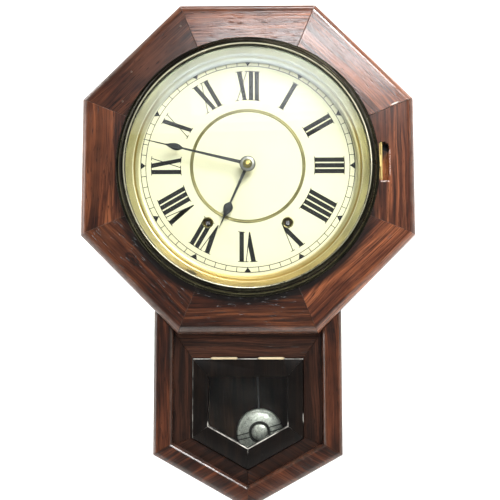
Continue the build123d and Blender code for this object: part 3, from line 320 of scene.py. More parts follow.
def pale_lines_and_glint(t, place, body):
    """Painted glint on the open mitre's edge, and pale broken lines along the lower and outer edges of the
    mortise.
    """
    ragged = t.span(t.noise(place, 700.0), 0, 1, -0.4, 0.4)
    glint = t.math("ADD", spot(t, place, MITRE_GLINT, 6.5, 1.1, 22.5), ragged)
    body = t.mix(t.span(glint, 1.0, 0.7, 0.0, 0.9), body, srgb(236, 226, 214))
    x, _, z = t.split(place)
    below = t.span(t.away(z, z_at(MORTISE[2][0] - 1.5)), 0.0012, 0.0006)
    across = t.math("MULTIPLY", t.span(x, 0.1705, 0.1715), t.span(x, 0.1830, 0.1820))
    beside = t.span(t.away(x, (MORTISE[0][1] + 1.1) * MM), 0.0012, 0.0005, 0.0, 0.5)
    along = t.math("MULTIPLY", t.span(z, z_at(-14), z_at(-11)), t.span(z, z_at(22), z_at(18)))
    lines = t.math("MAXIMUM", t.math("MULTIPLY", below, across), t.math("MULTIPLY", beside, along))
    broken = t.span(t.noise(place, 480.0), 0.42, 0.55)
    return t.mix(t.math("MULTIPLY", lines, broken), body, srgb(238, 212, 200))


def bare_mortise(t, place, body):
    """Raw split wood inside the mortise, with painted shade darkening its top."""
    x, y, z = t.split(place)
    inside = t.span(x, (MORTISE[0][0] - 0.6) * MM, (MORTISE[0][0] - 0.2) * MM)
    for value, none, full in ((x, 184.0 * MM, 183.6 * MM),
                              (y, (0.25 - OCT_FRONT) * MM, (0.6 - OCT_FRONT) * MM),
                              (y, -89.0 * MM, -91.0 * MM),
                              (z, z_at(MORTISE[2][0] - 1.2), z_at(MORTISE[2][0] - 0.9)),
                              (z, z_at(MORTISE[2][1] + 1.2), z_at(MORTISE[2][1] + 0.9))):
        inside = t.math("MULTIPLY", inside, t.span(value, none, full))
    fibre = t.noise(t.vector("MULTIPLY", place, (900.0, 900.0, 60.0)), 1.0, 3.0)
    bare = t.ramp(fibre, (0.3, srgb(112, 60, 28)), (0.55, srgb(206, 126, 66)), (0.8, srgb(236, 180, 122)))
    uneven = t.span(t.noise(place, 160.0), 0.3, 0.7, -0.5, 0.4)
    # Painted shade across the top of the pocket, under its upper wall
    darkening = t.math("ADD", t.span(z, z_at(8), z_at(20)), uneven, clamp=True)
    return t.mix(inside, body, t.mix(darkening, bare, srgb(18, 12, 10)))


def octagon_marks(t, place, body):
    """The octagon veneer's knot, nail holes, pale lines and bare mortise, with painted shadow round the bezel
    and in the mortise's top, and a painted glint on the open mitre.
    """
    for mark in (knot_mark, bezel_painted_shadow, nail_heads, pale_lines_and_glint, bare_mortise):
        body = mark(t, place, body)
    return body


def bob_pits_and_groove_shade(t, place, base):
    """Painted shade in the groove round the bob's boss and along both edges of its strap, over fine pits."""
    offset = flat_offset(t, place, BOB_X, BOB_Z)
    radius = t.length(offset)
    across = t.split(t.turned(offset, math.radians(STRAP_TILT)))[2]
    edge = t.away(t.math("ABSOLUTE", across), STRAP_HALF * MM)
    line = t.math("MULTIPLY", t.span(edge, 0.0009, 0.0004), t.span(radius, 0.011, 0.012))
    ring = t.span(t.away(radius, 0.0127), 0.0023, 0.0015)
    pits = t.span(t.noise(place, 520.0, 3.0, 0.7), 0.5, 0.66, 0.0, 0.7)
    base = t.mix(pits, base, srgb(84, 88, 78))
    return t.mix(t.math("MULTIPLY", t.math("MAXIMUM", line, ring), 0.93), base, srgb(20, 20, 18))


def reflector_painted_reflection(t, place, base):
    """Painted reflection, cooler towards the top and yellower towards the bottom, with a dark patch at a dent
    low on the left.
    """
    height = t.split(place)[2]
    base = t.mix(t.span(height, z_at(40), z_at(130), 0.0, 0.85), base, srgb(222, 230, 232))
    base = t.mix(t.span(height, z_at(-70), z_at(-140), 0.0, 0.6), base, srgb(170, 136, 60))
    ragged = t.span(t.noise(place, 320.0), 0, 1, -0.5, 0.5)
    darkening = t.math("ADD", spot(t, place, DENT, 8.5, 2.4, -29), ragged)
    return t.mix(t.span(darkening, 1.0, 0.7, 0.0, 0.85), base, srgb(40, 38, 28))


def hub_marks(t, place, base):
    """Bright steel round the centre of the hands."""
    radius = t.length(flat_offset(t, place, 0.0, DIAL_Z))
    return t.mix(t.span(radius, 0.0098, 0.0092, 0.0, 0.9), base, srgb(158, 158, 150))


def metal(name, colour, tarnish, rough=0.28, tarnish_share=0.5, brushed=(40.0, 40.0, 40.0), scratch=0.06,
          grain=30.0, painted_rings=(), metallic=1.0, marks=None):
    """Metal with patchy tarnish and fine scratches. The listed rings, each by its radius, half width and
    colour, are painted highlight and reflection on the bezel and the sight ring."""
    t = Tree(name)
    place = t.place()
    patches = t.noise(place, grain, 5.0, 0.6, 0.3)
    specks = t.noise(place, grain * 16, 3.0, 0.6)
    dull = t.math("ADD", t.span(patches, 0.42, 0.68, 0.0, tarnish_share),
                  t.span(specks, 0.6, 0.75, 0.0, 0.25), clamp=True)
    scratches = t.noise(t.vector("MULTIPLY", place, brushed), 28.0, 3.0, 0.7)
    base = t.mix(dull, colour, tarnish)
    if painted_rings:
        radius = t.length(flat_offset(t, place, 0.0, OCT_Z))
    for ring, half, lit_colour in painted_rings:
        share = t.span(t.away(radius, ring * MM), half * MM, half * 0.4 * MM, 0.0, 0.85)
        base = t.mix(share, base, lit_colour)
    if marks:
        base = marks(t, place, base)
    uneven = t.math("ADD", t.span(dull, 0, 1, rough, rough + 0.2), t.span(scratches, 0.4, 0.7, 0, 0.08))
    t.shade(Base_Color=base, Metallic=metallic, Roughness=uneven, Normal=t.bump(scratches, scratch, 0.12))
    return t.material


def enamel(name):
    """Cream dial paint, faintly mottled, with a few specks and a yellowed edge."""
    t = Tree(name)
    place = t.place()
    centred = t.vector("SUBTRACT", place, tuple(at(0, DIAL_FRONT, 0, DIAL_Z)))
    radius = t.length(centred)
    base = t.ramp(t.noise(place, 14.0, 5.0, 0.6), (0.3, srgb(212, 211, 179)), (0.7, srgb(208, 206, 171)))
    base = t.mix(t.span(radius, 0.128, 0.156, 0.0, 0.55), base, srgb(204, 198, 156))
    specks = t.noise(place, 420.0, 2.0, 0.5)
    base = t.mix(t.span(specks, 0.74, 0.80, 0.0, 0.6), base, srgb(120, 104, 66))
    crazing = t.add("TexVoronoi", {"Vector": place, "Scale": 240.0}, feature="DISTANCE_TO_EDGE").outputs[0]
    t.shade(Base_Color=base, Roughness=t.span(t.noise(place, 90.0), 0.3, 0.7, 0.34, 0.5),
            Normal=t.bump(crazing, 0.03, 0.1))
    return t.material


def ink(name, colour):
    """Printed black, slightly worn through in specks."""
    t = Tree(name)
    wear = t.noise(t.place(), 900.0, 3.0, 0.6)
    base = t.mix(t.span(wear, 0.62, 0.8, 0.0, 0.5), colour, srgb(130, 128, 110))
    t.shade(Base_Color=base, Specular_IOR_Level=0.2, Roughness=t.span(wear, 0.3, 0.7, 0.42, 0.6),
            Normal=t.bump(wear, 0.05, 0.05))
    return t.material


def pane(name, dust, scratches):
    """Clear glass that lets lamps through, with a little dust and fine scratches."""
    t = Tree(name)
    place = t.place()
    ripple = t.noise(place, 9.0, 2.0)
    glass, output = t.shade(Base_Color=(0.97, 0.985, 0.97), Roughness=0.015, IOR=1.47,
                            Transmission_Weight=1.0, Normal=t.bump(ripple, 0.06, 0.6))
    clear = t.add("BsdfTransparent")
    lamp = t.add("LightPath").outputs["Is Shadow Ray"]
    through = t.add("MixShader", {0: lamp, 1: glass.outputs[0], 2: clear.outputs[0]})
    film = t.add("BsdfDiffuse", {"Color": (0.6, 0.6, 0.56, 1)})
    slant = t.turned(place, math.radians(38))
    lines = t.noise(t.vector("MULTIPLY", slant, (7.0, 900.0, 900.0)), 1.0, 1.0)
    haze = t.math("ADD", t.span(t.noise(place, 26.0, 4.0), 0.45, 0.8, 0.0, dust),
                  t.span(lines, 0.78, 0.84, 0.0, scratches), clamp=True)
    mixed = t.add("MixShader", {0: haze, 1: through.outputs[0], 2: film.outputs[0]})
    t.links.new(mixed.outputs[0], output.inputs["Surface"])
    return t.material


def plain_paint(name, colour):
    """Pale stage paint with a faint unevenness."""
    t = Tree(name)
    shade = t.noise(t.place(), 3.0, 2.0)
    t.shade(Base_Color=t.mix(t.span(shade, 0, 1, 0, 0.1), colour, (0.7, 0.7, 0.68)), Roughness=0.8)
    return t.material


MATERIALS = {
    "rosewood_octagon": wood("octagon veneer", srgb(24, 11, 7), srgb(82, 42, 26), srgb(138, 80, 50),
                             worn=(srgb(190, 160, 140), 0.09), marks=octagon_marks),
    "rosewood_drop": wood("drop veneer", srgb(18, 8, 5), srgb(58, 29, 17), srgb(104, 56, 34),
                          worn=(srgb(180, 150, 128), 0.07)),
    # The frame veneer is darker than the mouldings', partly its own colour and partly painted shade from the
    # mouldings.
    "frame_wood": wood("drop frame veneer", srgb(20, 11, 8), srgb(48, 28, 19), srgb(72, 42, 29), coat=0.4),
    # The door's near-white edge colour is partly rubbed wear and partly painted highlight.
    "door_wood": wood("door wood", srgb(9, 7, 6), srgb(18, 13, 10), srgb(28, 19, 14), coat=0.06,
                      worn=(srgb(246, 242, 232), 1.0, door_wear_and_highlight)),
    "case_wood": wood("case side wood", srgb(40, 20, 12), srgb(76, 42, 26), srgb(100, 58, 36), gloss=0.4,
                      coat=0.15),
    # Bare wood darkened partly as old wood and partly as painted shade inside the case.
    "raw_wood": wood("bare wood", srgb(34, 24, 16), srgb(60, 43, 29), srgb(84, 62, 43), gloss=0.6,
                     coat=0.0, pores=0.6),
    # The bezel's two rings are painted highlights on its inner lip and outer roll.
    "bezel_brass": metal("aged bezel brass", srgb(44, 42, 32), srgb(15, 15, 13), 0.22, 0.9, scratch=0.05,
                         painted_rings=((158.0, 1.0, srgb(206, 202, 178)), (165.1, 1.2, srgb(128, 124, 92)))),
    # The sight ring's rings and marks are painted reflection.
    "reflector_brass": metal("reflector brass", srgb(182, 176, 132), srgb(146, 134, 86), 0.3, 0.35,
                             metallic=0.8, marks=reflector_painted_reflection,
                             painted_rings=((147.4, 1.5, srgb(140, 116, 44)), (149.2, 0.6, srgb(226, 222, 186)),
                                       (141.8, 0.8, srgb(222, 218, 176)))),
    "dial_brass": metal("dial gilt", srgb(136, 130, 88), srgb(78, 76, 50), 0.3, 0.6),
    "small_brass": metal("fitting brass", srgb(232, 206, 134), srgb(170, 140, 82), 0.42, 0.4, metallic=0.6),
    "door_hinge_brass": metal("worn hinge brass", srgb(232, 214, 176), srgb(172, 148, 116), 0.42, 0.5,
                              metallic=0.5),
    "movement_brass": metal("movement brass", srgb(222, 190, 110), srgb(150, 122, 66), 0.3, 0.35,
                            brushed=(6.0, 60.0, 60.0)),
    "steel": metal("plain steel", srgb(128, 128, 128), srgb(70, 66, 60), 0.36, 0.5),
    "spring_steel": metal("spring steel", srgb(96, 102, 116), srgb(60, 56, 54), 0.3, 0.5),
    "blued_hands": metal("blued steel", srgb(66, 68, 68), srgb(34, 35, 35), 0.32, 0.5, scratch=0.1,
                         marks=hub_marks),
    "bob_metal": metal("bob nickel", srgb(214, 218, 206), srgb(124, 128, 114), 0.36, 0.6, grain=120.0,
                       metallic=0.85, marks=bob_pits_and_groove_shade),
    "dial_paint": enamel("dial enamel"),
    "glass": pane("window glass", 0.015, 0.06),
}
INK = ink("dial ink", srgb(16, 17, 17))
NODE_SLOTS = {part["node"]: part["material_slot"] for part in frame["record"]["subparts"]}
LEVEL_GRAIN = ("case_top", "case_floor_boards")


def set_grain(piece, turn, seed, tone_and_light=1.0):
    """Grain angle from the horizontal, place in the figure, and shade, for the wood materials; the shade is
    partly the wood's own and partly painted light.
    """
    piece["grain_turn"] = math.radians(turn)
    piece["grain_seed"] = float(seed)
    piece["grain_tone_and_light"] = tone_and_light


def finish_of(node):
    """A CAD node's material is its slot's, but both hinges are brighter than the pieces round them."""
    if node.startswith("bezel_hinge"):
        return MATERIALS["small_brass"]
    if node.startswith("door_hinge"):
        return MATERIALS["door_hinge_brass"]
    return MATERIALS[NODE_SLOTS[node]]


for number, (node, thing) in enumerate(sorted(frame["nodes"].items())):
    thing.data.materials.clear()
    thing.data.materials.append(finish_of(node))
    # The backboard is painted darker, as painted shade inside the case.
    shade = 0.6 if node == "backboard" else 1.0
    set_grain(thing, 0.0 if node in LEVEL_GRAIN else 90.0, number * 0.731, shade)


# ---------------------------------------------------------------- mesh makers
def finish_piece(name, bm, body, slot, material=None, replaced=(), sharp=32.0):
    """Turn a bmesh into a piece that rides on a body."""
    bmesh.ops.remove_doubles(bm, verts=bm.verts, dist=1e-7)
    bmesh.ops.recalc_face_normals(bm, faces=bm.faces)
    mesh = bpy.data.meshes.new(name)
    bm.to_mesh(mesh)
    bm.free()
    mesh.shade_smooth()
    mesh.set_sharp_from_angle(angle=math.radians(sharp))
    mesh.materials.append(material or MATERIALS[slot])
    piece = bpy.data.objects.new(name, mesh)
    bpy.context.scene.collection.objects.link(piece)
    set_grain(piece, 90.0, len(name) * 0.37)
    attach(piece, body)
    if replaced:
        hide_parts(*replaced)
    return piece


def lathe(bm, profile, centre=(0.0, 0.0), level=None, steps=192, closed=True):
    """Turned ring or knob from (radius, off) points about an axis out of the wall."""
    rings = []
    for k in range(steps):
        x, z = polar(1.0, 360 * k / steps)
        places = [at(centre[0] + r * x, off, centre[1] + r * z, level) for r, off in profile]
        rings.append([bm.verts.new(place) for place in places])
    count = len(profile) if closed else len(profile) - 1
    for a, b in zip(rings, rings[1:] + rings[:1]):
        for i in range(count):
            j = (i + 1) % len(profile)
            bm.faces.new([a[i], a[j], b[j], b[i]])


def arc(centre, radius, start, end, steps):
    """Points of an arc in any flat pair of axes."""
    spokes = [polar(radius, start + (end - start) * k / steps) for k in range(steps + 1)]
    return [(centre[0] + a, centre[1] + b) for a, b in spokes]


def loft(bm, sections):
    """Closed skin over rings of vertices, with a flat cap at each end."""
    for a, b in zip(sections, sections[1:]):
        for i in range(len(a)):
            j = (i + 1) % len(a)
            bm.faces.new([a[i], b[i], b[j], a[j]])
    bm.faces.new(sections[0])
    bm.faces.new(sections[-1][::-1])


def plate(bm, outline, offs, level=None):
    """Flat prism from an outline seen from the front. Returns its back and front vertices."""
    back = [bm.verts.new(at(x, offs[0], z, level)) for x, z in outline]
    top = [bm.verts.new(at(x, offs[1], z, level)) for x, z in outline]
    bm.faces.new(back)
    bm.faces.new(top[::-1])
    for i in range(len(outline)):
        j = (i + 1) % len(outline)
        bm.faces.new([back[i], top[i], top[j], back[j]])
    return back, top


def board(name, outline, offs, rounds, mitres, body, slot, replaced=(), turn=0.0, seed=0.0, gap=0.06,
          groove=0.45, material=None, tone_and_light=1.0):
    """Straight-sided board. rounds gives the radius of each rounded front edge, and mitres lists the edges
    that are glued joints, drawn back by the gap and broken by the groove.
    """
    points = [Vector(p) for p in outline]
    count = len(points)
    moved = list(points)
    for i in mitres:
        j = (i + 1) % count
        moved[i] = points[i] + (points[i - 1] - points[i]).normalized() * gap
        moved[j] = points[j] + (points[(j + 1) % count] - points[j]).normalized() * gap
    bm = bmesh.new()
    _, top = plate(bm, moved, offs)
    planes = []
    for i in mitres:
        start, end = (at(point.x, 0, point.y) for point in (moved[i], moved[(i + 1) % count]))
        planes.append((start, (end - start).cross(Vector((0, 1, 0))).normalized()))
    chosen = {i: bm.edges.get((top[i], top[(i + 1) % count])) for i in rounds}
    for radius in sorted(set(rounds.values()), reverse=True):
        edges = [chosen[i] for i in rounds if rounds[i] == radius]
        bmesh.ops.bevel(bm, geom=edges, offset=radius * MM, segments=10 if radius > 2 else 3,
                        profile=0.5, affect="EDGES", clamp_overlap=True)
    for origin, normal in planes:
        ends = [f for f in bm.faces if all(abs((v.co - origin).dot(normal)) < 1e-6 for v in f.verts)]
        edges = {e for f in ends for e in f.edges if min(-v.co.y / MM for v in e.verts) > offs[0] + 0.5}
        bmesh.ops.bevel(bm, geom=list(edges), offset=groove * MM, segments=1, profile=0.5,
                        affect="EDGES", clamp_overlap=True)
    piece = finish_piece(name, bm, body, slot, material, replaced)
    set_grain(piece, turn, seed, tone_and_light)
    return piece


# ---------------------------------------------------------------- octagon
def octagon_board(bm, number, gaps):
    """One mitred board, swept round its eighth of the circle. gaps are half the joint at each end."""
    outer = [(OCT_HALF, OCT_BACK), (OCT_HALF, OCT_FRONT - OCT_ROUND)]
    outer += arc((OCT_HALF - OCT_ROUND, OCT_FRONT - OCT_ROUND), OCT_ROUND, 0, 90, 10)[1:]
    inner = [(OPENING_R + 0.5, OCT_FRONT), (OPENING_R, OCT_FRONT - 0.5), (OPENING_R, DIAL_FRONT - 0.8),
             (LEDGE_R, DIAL_FRONT - 0.8), (LEDGE_R, OCT_BACK)]
    # Each station is an angle, a slide along the board, and how far its front edge sinks at the joint
    stations = [(-CORNER_TURN, gaps[0], 0.5), (-CORNER_TURN, gaps[0] + 0.5, 0.0)]
    stations += [(-20 + 2.5 * k, 0.0, 0.0) for k in range(17)]
    stations += [(CORNER_TURN, -gaps[1] - 0.5, 0.0), (CORNER_TURN, -gaps[1], 0.5)]
    sections = []
    for angle, slide, sink in stations:
        along_flat = polar(1 / math.cos(math.radians(CORNER_TURN)), SIDE_TURN * number + 90)
        along_round = polar(1.0, SIDE_TURN * number + angle + 90)
        ring = []
        for i, (reach, off) in enumerate(outer + inner):
            flat = i < len(outer)
            if off > OCT_BACK:
                off -= sink if off > OCT_FRONT - OCT_ROUND and reach > OPENING_R + 0.1 else 0
                reach -= sink * 0.7 if flat and reach > OCT_HALF - 2 else 0
            radius = reach / math.cos(math.radians(angle)) if flat else reach
            x, z = polar(radius, SIDE_TURN * number + angle)
            way = along_flat if flat else along_round
            ring.append(bm.verts.new(at(x + way[0] * slide, off, z + way[1] * slide)))
        sections.append(ring)
    loft(bm, sections)


def cut_pocket(piece, outline, offs):
    """Cut a straight-sided pocket out of a piece for good."""
    bm = bmesh.new()
    plate(bm, outline, offs)
    bmesh.ops.recalc_face_normals(bm, faces=bm.faces)
    mesh = bpy.data.meshes.new("pocket")
    bm.to_mesh(mesh)
    bm.free()
    cutter = bpy.data.objects.new("pocket", mesh)
    bpy.context.scene.collection.objects.link(cutter)
    modifier = piece.modifiers.new("pocket", "BOOLEAN")
    modifier.operation = "DIFFERENCE"
    modifier.solver = "EXACT"
    modifier.object = cutter
    bpy.context.view_layer.update()
    result = bpy.data.meshes.new_from_object(piece.evaluated_get(bpy.context.evaluated_depsgraph_get()))
    piece.modifiers.clear()
    piece.data = result
    bpy.data.objects.remove(cutter)


TIGHT, OPEN_LOW, OPEN_HIGH = 0.07, 0.32, 0.30  # half joints; one mitre, between boards 1 and 2, is open
# Each board's shade is partly its veneer's own and partly painted light, lighter on the boards the lamps
# catch.
BOARD_TONES_AND_LIGHT = (1.5, 1.75, 1.7, 0.75, 1.2, 0.75, 0.65, 1.6)  # shades, anticlockwise from the right-hand board
boards = []
for k, tone_and_light in enumerate(BOARD_TONES_AND_LIGHT):
    bm = bmesh.new()
    octagon_board(bm, k, (OPEN_HIGH if k == 1 else TIGHT, OPEN_LOW if k == 0 else TIGHT))
    piece = finish_piece(f"octagon_board_{k + 1}", bm, "case", "rosewood_octagon",
                         replaced=("octagon_segments",), sharp=30)
    set_grain(piece, 90 + SIDE_TURN * k, 1.3 + 2.17 * k, tone_and_light)
    boards.append(piece)

# Hinge mortise, chipped along its upper, outer and lower edges
wall, outer = MORTISE[0]
low, high = MORTISE[2]
mortise = [(wall, low), (172.0, low - 0.6), (174.5, low - 0.1), (177.0, low - 0.9), (179.5, low - 0.2),
           (outer - 0.5, low + 0.6), (outer - 0.8, low + 5), (outer + 0.3, low + 9), (outer, low + 14),
           (outer + 0.4, low + 22), (outer - 0.3, low + 30), (outer - 0.8, high - 14),
           (outer + 0.7, high - 10.5), (outer + 0.1, high - 8), (outer + 0.9, high - 6),
           (outer - 1.0, high - 4.6), (outer - 0.6, high - 2.6), (178.6, high - 1.6), (176.8, high + 0.7),
           (174.2, high - 0.5), (172.0, high + 0.3), (wall, high)]
cut_pocket(boards[0], mortise, MORTISE[1])

# ---------------------------------------------------------------- drop mouldings and frame
_, mould_off, mould_z = mm_box("drop_mouldings")
CASE_HALF = mm_box("backboard")[0][1]
POINT_Z = mould_z[0] - OCT_Z
MOULD_WIDE = 25.0
mould_in = CASE_HALF - MOULD_WIDE
mould_tip = POINT_Z + MOULD_WIDE * STRETCH
OCT_LEAN = OCT_HALF * math.sqrt(2)  # where the octagon's slanting edges would cross the axes


def side_boards(names, first, second, offs, rounds, mitres, belongs, seeds, slanted=True, **looks):
    """Upright and sloping board on each side, between two edges given by half width, top and tip. mitres
    are the upright's, belongs is the body, slot and replaced nodes, and slanted turns the slope's grain.
    """
    (half_a, top_a, tip_a), (half_b, top_b, tip_b) = first, second
    low_a, low_b = tip_a + half_a * SLOPE, tip_b + half_b * SLOPE
    upright = [(half_a, top_a), (half_a, low_a), (half_b, low_b), (half_b, top_b)]
    slope = [(half_a, low_a), (0, tip_a), (0, tip_b), (half_b, low_b)]
    for side, word in ((-1, "left"), (1, "right")):
        board(f"{names[0]}_{word}", [(side * x, z) for x, z in upright], offs, rounds, mitres, *belongs,
              turn=90, seed=seeds[0] + side, **looks)
        board(f"{names[1]}_{word}", [(side * x, z) for x, z in slope], offs, rounds, [1, 3], *belongs,
              turn=-POINT_SLANT * side if slanted else 90, seed=seeds[1] + side, **looks)


side_boards(("drop_moulding", "drop_moulding_point"), (CASE_HALF, CASE_HALF - OCT_LEAN - 0.1, POINT_Z),
            (mould_in, mould_in - OCT_LEAN - 0.1, mould_tip), mould_off, {0: 6.5, 2: 6.0}, [1],
            ("case", "rosewood_drop", ("drop_mouldings",)), (3.1, 7.7))

frame_x, frame_off, frame_z = mm_box("drop_frame")
frame_half = frame_x[1]
frame_top, frame_tip = frame_z[1] - OCT_Z, frame_z[0] - OCT_Z
DOOR_GAP = 0.8
open_half, open_top, open_tip = DOOR_HALF + DOOR_GAP, DOOR_TOP + 0.9, DOOR_TIP - DOOR_GAP * STRETCH
HINGE_X, HINGE_HALF, HINGE_DEEP = 30.0, 15.6, 1.05  # the door hinges' notches


def notched(low, high, z, depth):
    """Points along a horizontal edge from low to high x, with both hinge notches let in by depth."""
    points = []
    for x in (-HINGE_X, HINGE_X):
        points += [(x - HINGE_HALF, z), (x - HINGE_HALF, z + depth), (x + HINGE_HALF, z + depth),
                   (x + HINGE_HALF, z)]
    return [(low, z), *points, (high, z)]


rail = notched(-open_half, open_half, open_top, HINGE_DEEP)
rail += [(frame_half, frame_top), (-frame_half, frame_top)]
# The top rail is painted lighter than the stiles: painted light, as the stiles lie in the mouldings' shade.
board("drop_frame_top", rail, frame_off, {}, [9, 11], "case", "rosewood_drop", ("drop_frame",), turn=0,
      seed=11.0, material=MATERIALS["frame_wood"], tone_and_light=1.9)
side_boards(("drop_frame", "drop_frame_point"), (open_half, open_top, open_tip),
            (frame_half, frame_top, frame_tip), frame_off, {0: 0.4}, [1, 3],
            ("case", "rosewood_drop", ("drop_frame",)), (13.3, 17.9), material=MATERIALS["frame_wood"])

# ---------------------------------------------------------------- lower door
window_half, window_top, window_tip = 50.4, DOOR_TOP - 23.1, DOOR_TIP + 26.3
DOOR_GROOVE = 0.06  # the door is ebonised, so its joints hardly show
rail = [(window_half, window_top), (-window_half, window_top)]
rail += notched(-DOOR_HALF, DOOR_HALF, DOOR_TOP, -HINGE_DEEP)
board("door_rail_top", rail, door_off, {2: 0.95, 4: 0.8, 6: 0.95, 8: 0.8, 10: 0.95}, [1, 11],
      "lower_door", "door_wood", ("lower_door_frame",), turn=90, seed=21.0, groove=DOOR_GROOVE)
side_boards(("door_stile", "door_point"), (window_half, window_top, window_tip),
            (DOOR_HALF, DOOR_TOP, DOOR_TIP), door_off, {0: 1.6, 2: 0.8}, [1, 3],
            ("lower_door", "door_wood", ("lower_door_frame",)), (23.3, 27.9), slanted=False,
            groove=DOOR_GROOVE)

# ---------------------------------------------------------------- bezel
# Section of the rolled rim: its outside, from the glass round to the boards, then its inside
rim = [(161.0, RIM_BACK), (160.0, RIM_BACK), (160.0, 110.95), (156.9, 110.95), (156.9, 117.6),
       (157.4, 118.7), (158.2, 119.7), (159.2, 120.25), (160.6, 120.4), (162.3, 119.4), (163.5, 117.9),
       (164.2, 116.4), (164.6, 114.4), (165.0, 112.0), (165.3, 110.8), (165.9, 109.9), (166.8, 109.3),
       (168.0, 109.0), (168.7, 109.15), (169.3, 108.8), (169.8, 108.2), (169.8, RIM_BACK)]
rim += [(168.8, RIM_BACK), (168.8, 107.8), (167.8, 107.9), (165.2, 108.9), (164.0, 111.8), (163.2, 116.4),
        (160.4, 119.2), (158.9, 118.6), (157.9, 117.2), (157.9, 112.0), (161.0, 112.0)]
bm = bmesh.new()
lathe(bm, rim, steps=288)
# Catch tongue at the left: a tab that stands back from the rim, and its foot
for low_x, high_x, offs in ((-158.7, -157.9, (98, RIM_BACK + 1)), (-161.5, -158.0, (RIM_BACK, RIM_BACK + 1))):
    plate(bm, [(low_x, -5), (high_x, -5), (high_x, 5), (low_x, 5)], offs)
finish_piece("bezel_ring", bm, "bezel", "bezel_brass", replaced=("bezel_rim",), sharp=40)

# Section of the sight ring: its polished face from the glass down to the dial, then its back
sight = [(159.6, 107.5), (159.6, 108.6), (156.4, 108.6), (155.9, 107.0), (155.3, 105.6), (153.6, 102.9),
         (151.6, 100.0), (149.7, 97.3), (149.2, 97.0), (148.6, 96.9), (148.0, 96.5), (147.6, 96.0),
         (147.0, 94.6), (145.6, 93.0), (143.6, 91.4), (142.2, 90.85), (141.0, 90.6)]
sight += [(141.0, 89.9), (142.4, 90.2), (144.0, 90.8), (146.0, 92.4), (147.7, 94.2), (148.2, 95.4),
          (149.0, 96.1), (150.2, 96.5), (152.2, 99.3), (154.2, 102.3), (156.2, 105.2), (156.7, 106.3),
          (157.1, 107.5)]
bm = bmesh.new()
lathe(bm, sight, steps=288)
finish_piece("sight_ring_polished", bm, "bezel", "reflector_brass", replaced=("sight_ring",), sharp=50)

# ---------------------------------------------------------------- dial
RING_R = 73.5
half_ring = [(0.4, 0.7), (1.2, 1.0), (1.9, 0.6), (2.1, 0.0)]  # out from its middle, up from the dial
ring = [(-out, up) for out, up in reversed(half_ring)] + [(0.0, 0.62)] + half_ring
bm = bmesh.new()
lathe(bm, [(RING_R + out, DIAL_FRONT + up) for out, up in ring], level=DIAL_Z, steps=160)
finish_piece("centre_ring", bm, "case", "dial_brass", replaced=("dial_centre_ring",), sharp=60)

INK_LOW, INK_HIGH = DIAL_FRONT + 0.02, DIAL_FRONT + 0.07
NUMERAL_OUT, NUMERAL_IN = 126.7, 87.3  # radii of the numerals' ends
STROKE, GAP, SERIF, HAIR = 5.8, 1.8, 0.95, 1.1  # stroke, space between letters, serif and thin stroke
TRACK_OUT, TRACK_IN, LINE = 140.0, 133.4, 0.85  # minute track's radii and line
MARK_HALF = 4.6  # half width of the triangle at each five minutes
WINDING_X, WINDING_DROP, WINDING_CLEAR = 52.0, 75.0, 6.9  # winding holes, and the radius kept free of ink
HOLED_TURNS = (150, 210)  # numerals that a winding hole cuts into
LETTER_WIDE = {"I": STROKE, "V": 14.0, "X": 14.6}
LONE_V = 18.0  # the single V is wider
bm = bmesh.new()


def printed(points, turn):
    """Printed patch from (distance clockwise along the arc, radius) points about a clock angle."""
    outline = [clock(radius, turn + math.degrees(u / radius)) for u, radius in points]
    plate(bm, outline, (INK_LOW, INK_HIGH), DIAL_Z)


def holed(u, radius, turn):
    """Whether a place on the dial falls in one of the winding holes."""
    x, z = clock(radius, turn + math.degrees(u / radius))
    return math.hypot(abs(x) - WINDING_X, z + WINDING_DROP) < WINDING_CLEAR


def band(foot, top, foot_width, top_width, turn, low=NUMERAL_IN, high=NUMERAL_OUT):
    """Stroke from the foot, towards the dial's centre, to the top, left out over the winding holes."""
    rows, columns = (30, 8) if turn in HOLED_TURNS else (1, 1)
    for i in range(rows):
        for j in range(columns):
            cell = []
            for up, over in ((i, j), (i, j + 1), (i + 1, j + 1), (i + 1, j)):
                up /= rows
                width = foot_width + (top_width - foot_width) * up
                cell.append((foot + (top - foot) * up + width * (over / columns - 0.5),
                             low + (high - low) * up))
            if not holed(sum(u for u, _ in cell) / 4, sum(r for _, r in cell) / 4, turn):
                printed(cell, turn)


def serif(low, high, outward, turn):
    """Thin bar along the arc across the ends of a stroke."""
    base = NUMERAL_OUT - SERIF if outward else NUMERAL_IN
    steps = 12
    for k in range(steps):
        u, v = (low + (high - low) * (k + end) / steps for end in (0, 1))
        if not holed((u + v) / 2, base, turn):
            printed([(u, base), (v, base), (v, base + SERIF), (u, base + SERIF)], turn)


def letter_i(left, right, turn):
    band((left + right) / 2, (left + right) / 2, STROKE, STROKE, turn)
    return (left - 1.8, right + 1.8, True), (left - 1.8, right + 1.8, False)


def letter_v(left, right, turn):
    """Thick stroke that narrows to a point below where the thin stroke joins it."""
    wide = right - left
    foot = left + 0.6 * wide
    share = 1 - (wide - 7.4) / (wide - 2.1)
    join = NUMERAL_IN + (NUMERAL_OUT - NUMERAL_IN) * share
    edge = foot - 0.6 + (left - foot + 0.6) * share
    thick = 6.2
    printed([(edge, join), (edge + thick, join), (left + thick, NUMERAL_OUT), (left, NUMERAL_OUT)], turn)
    band(foot, edge + thick / 2, 1.2, thick, turn, NUMERAL_IN, join)
    band(foot + 0.3, right - 1.2, HAIR, HAIR, turn)
    return (left - 1.8, left + 8.3, True), (right - 4.2, right + 1.6, True)


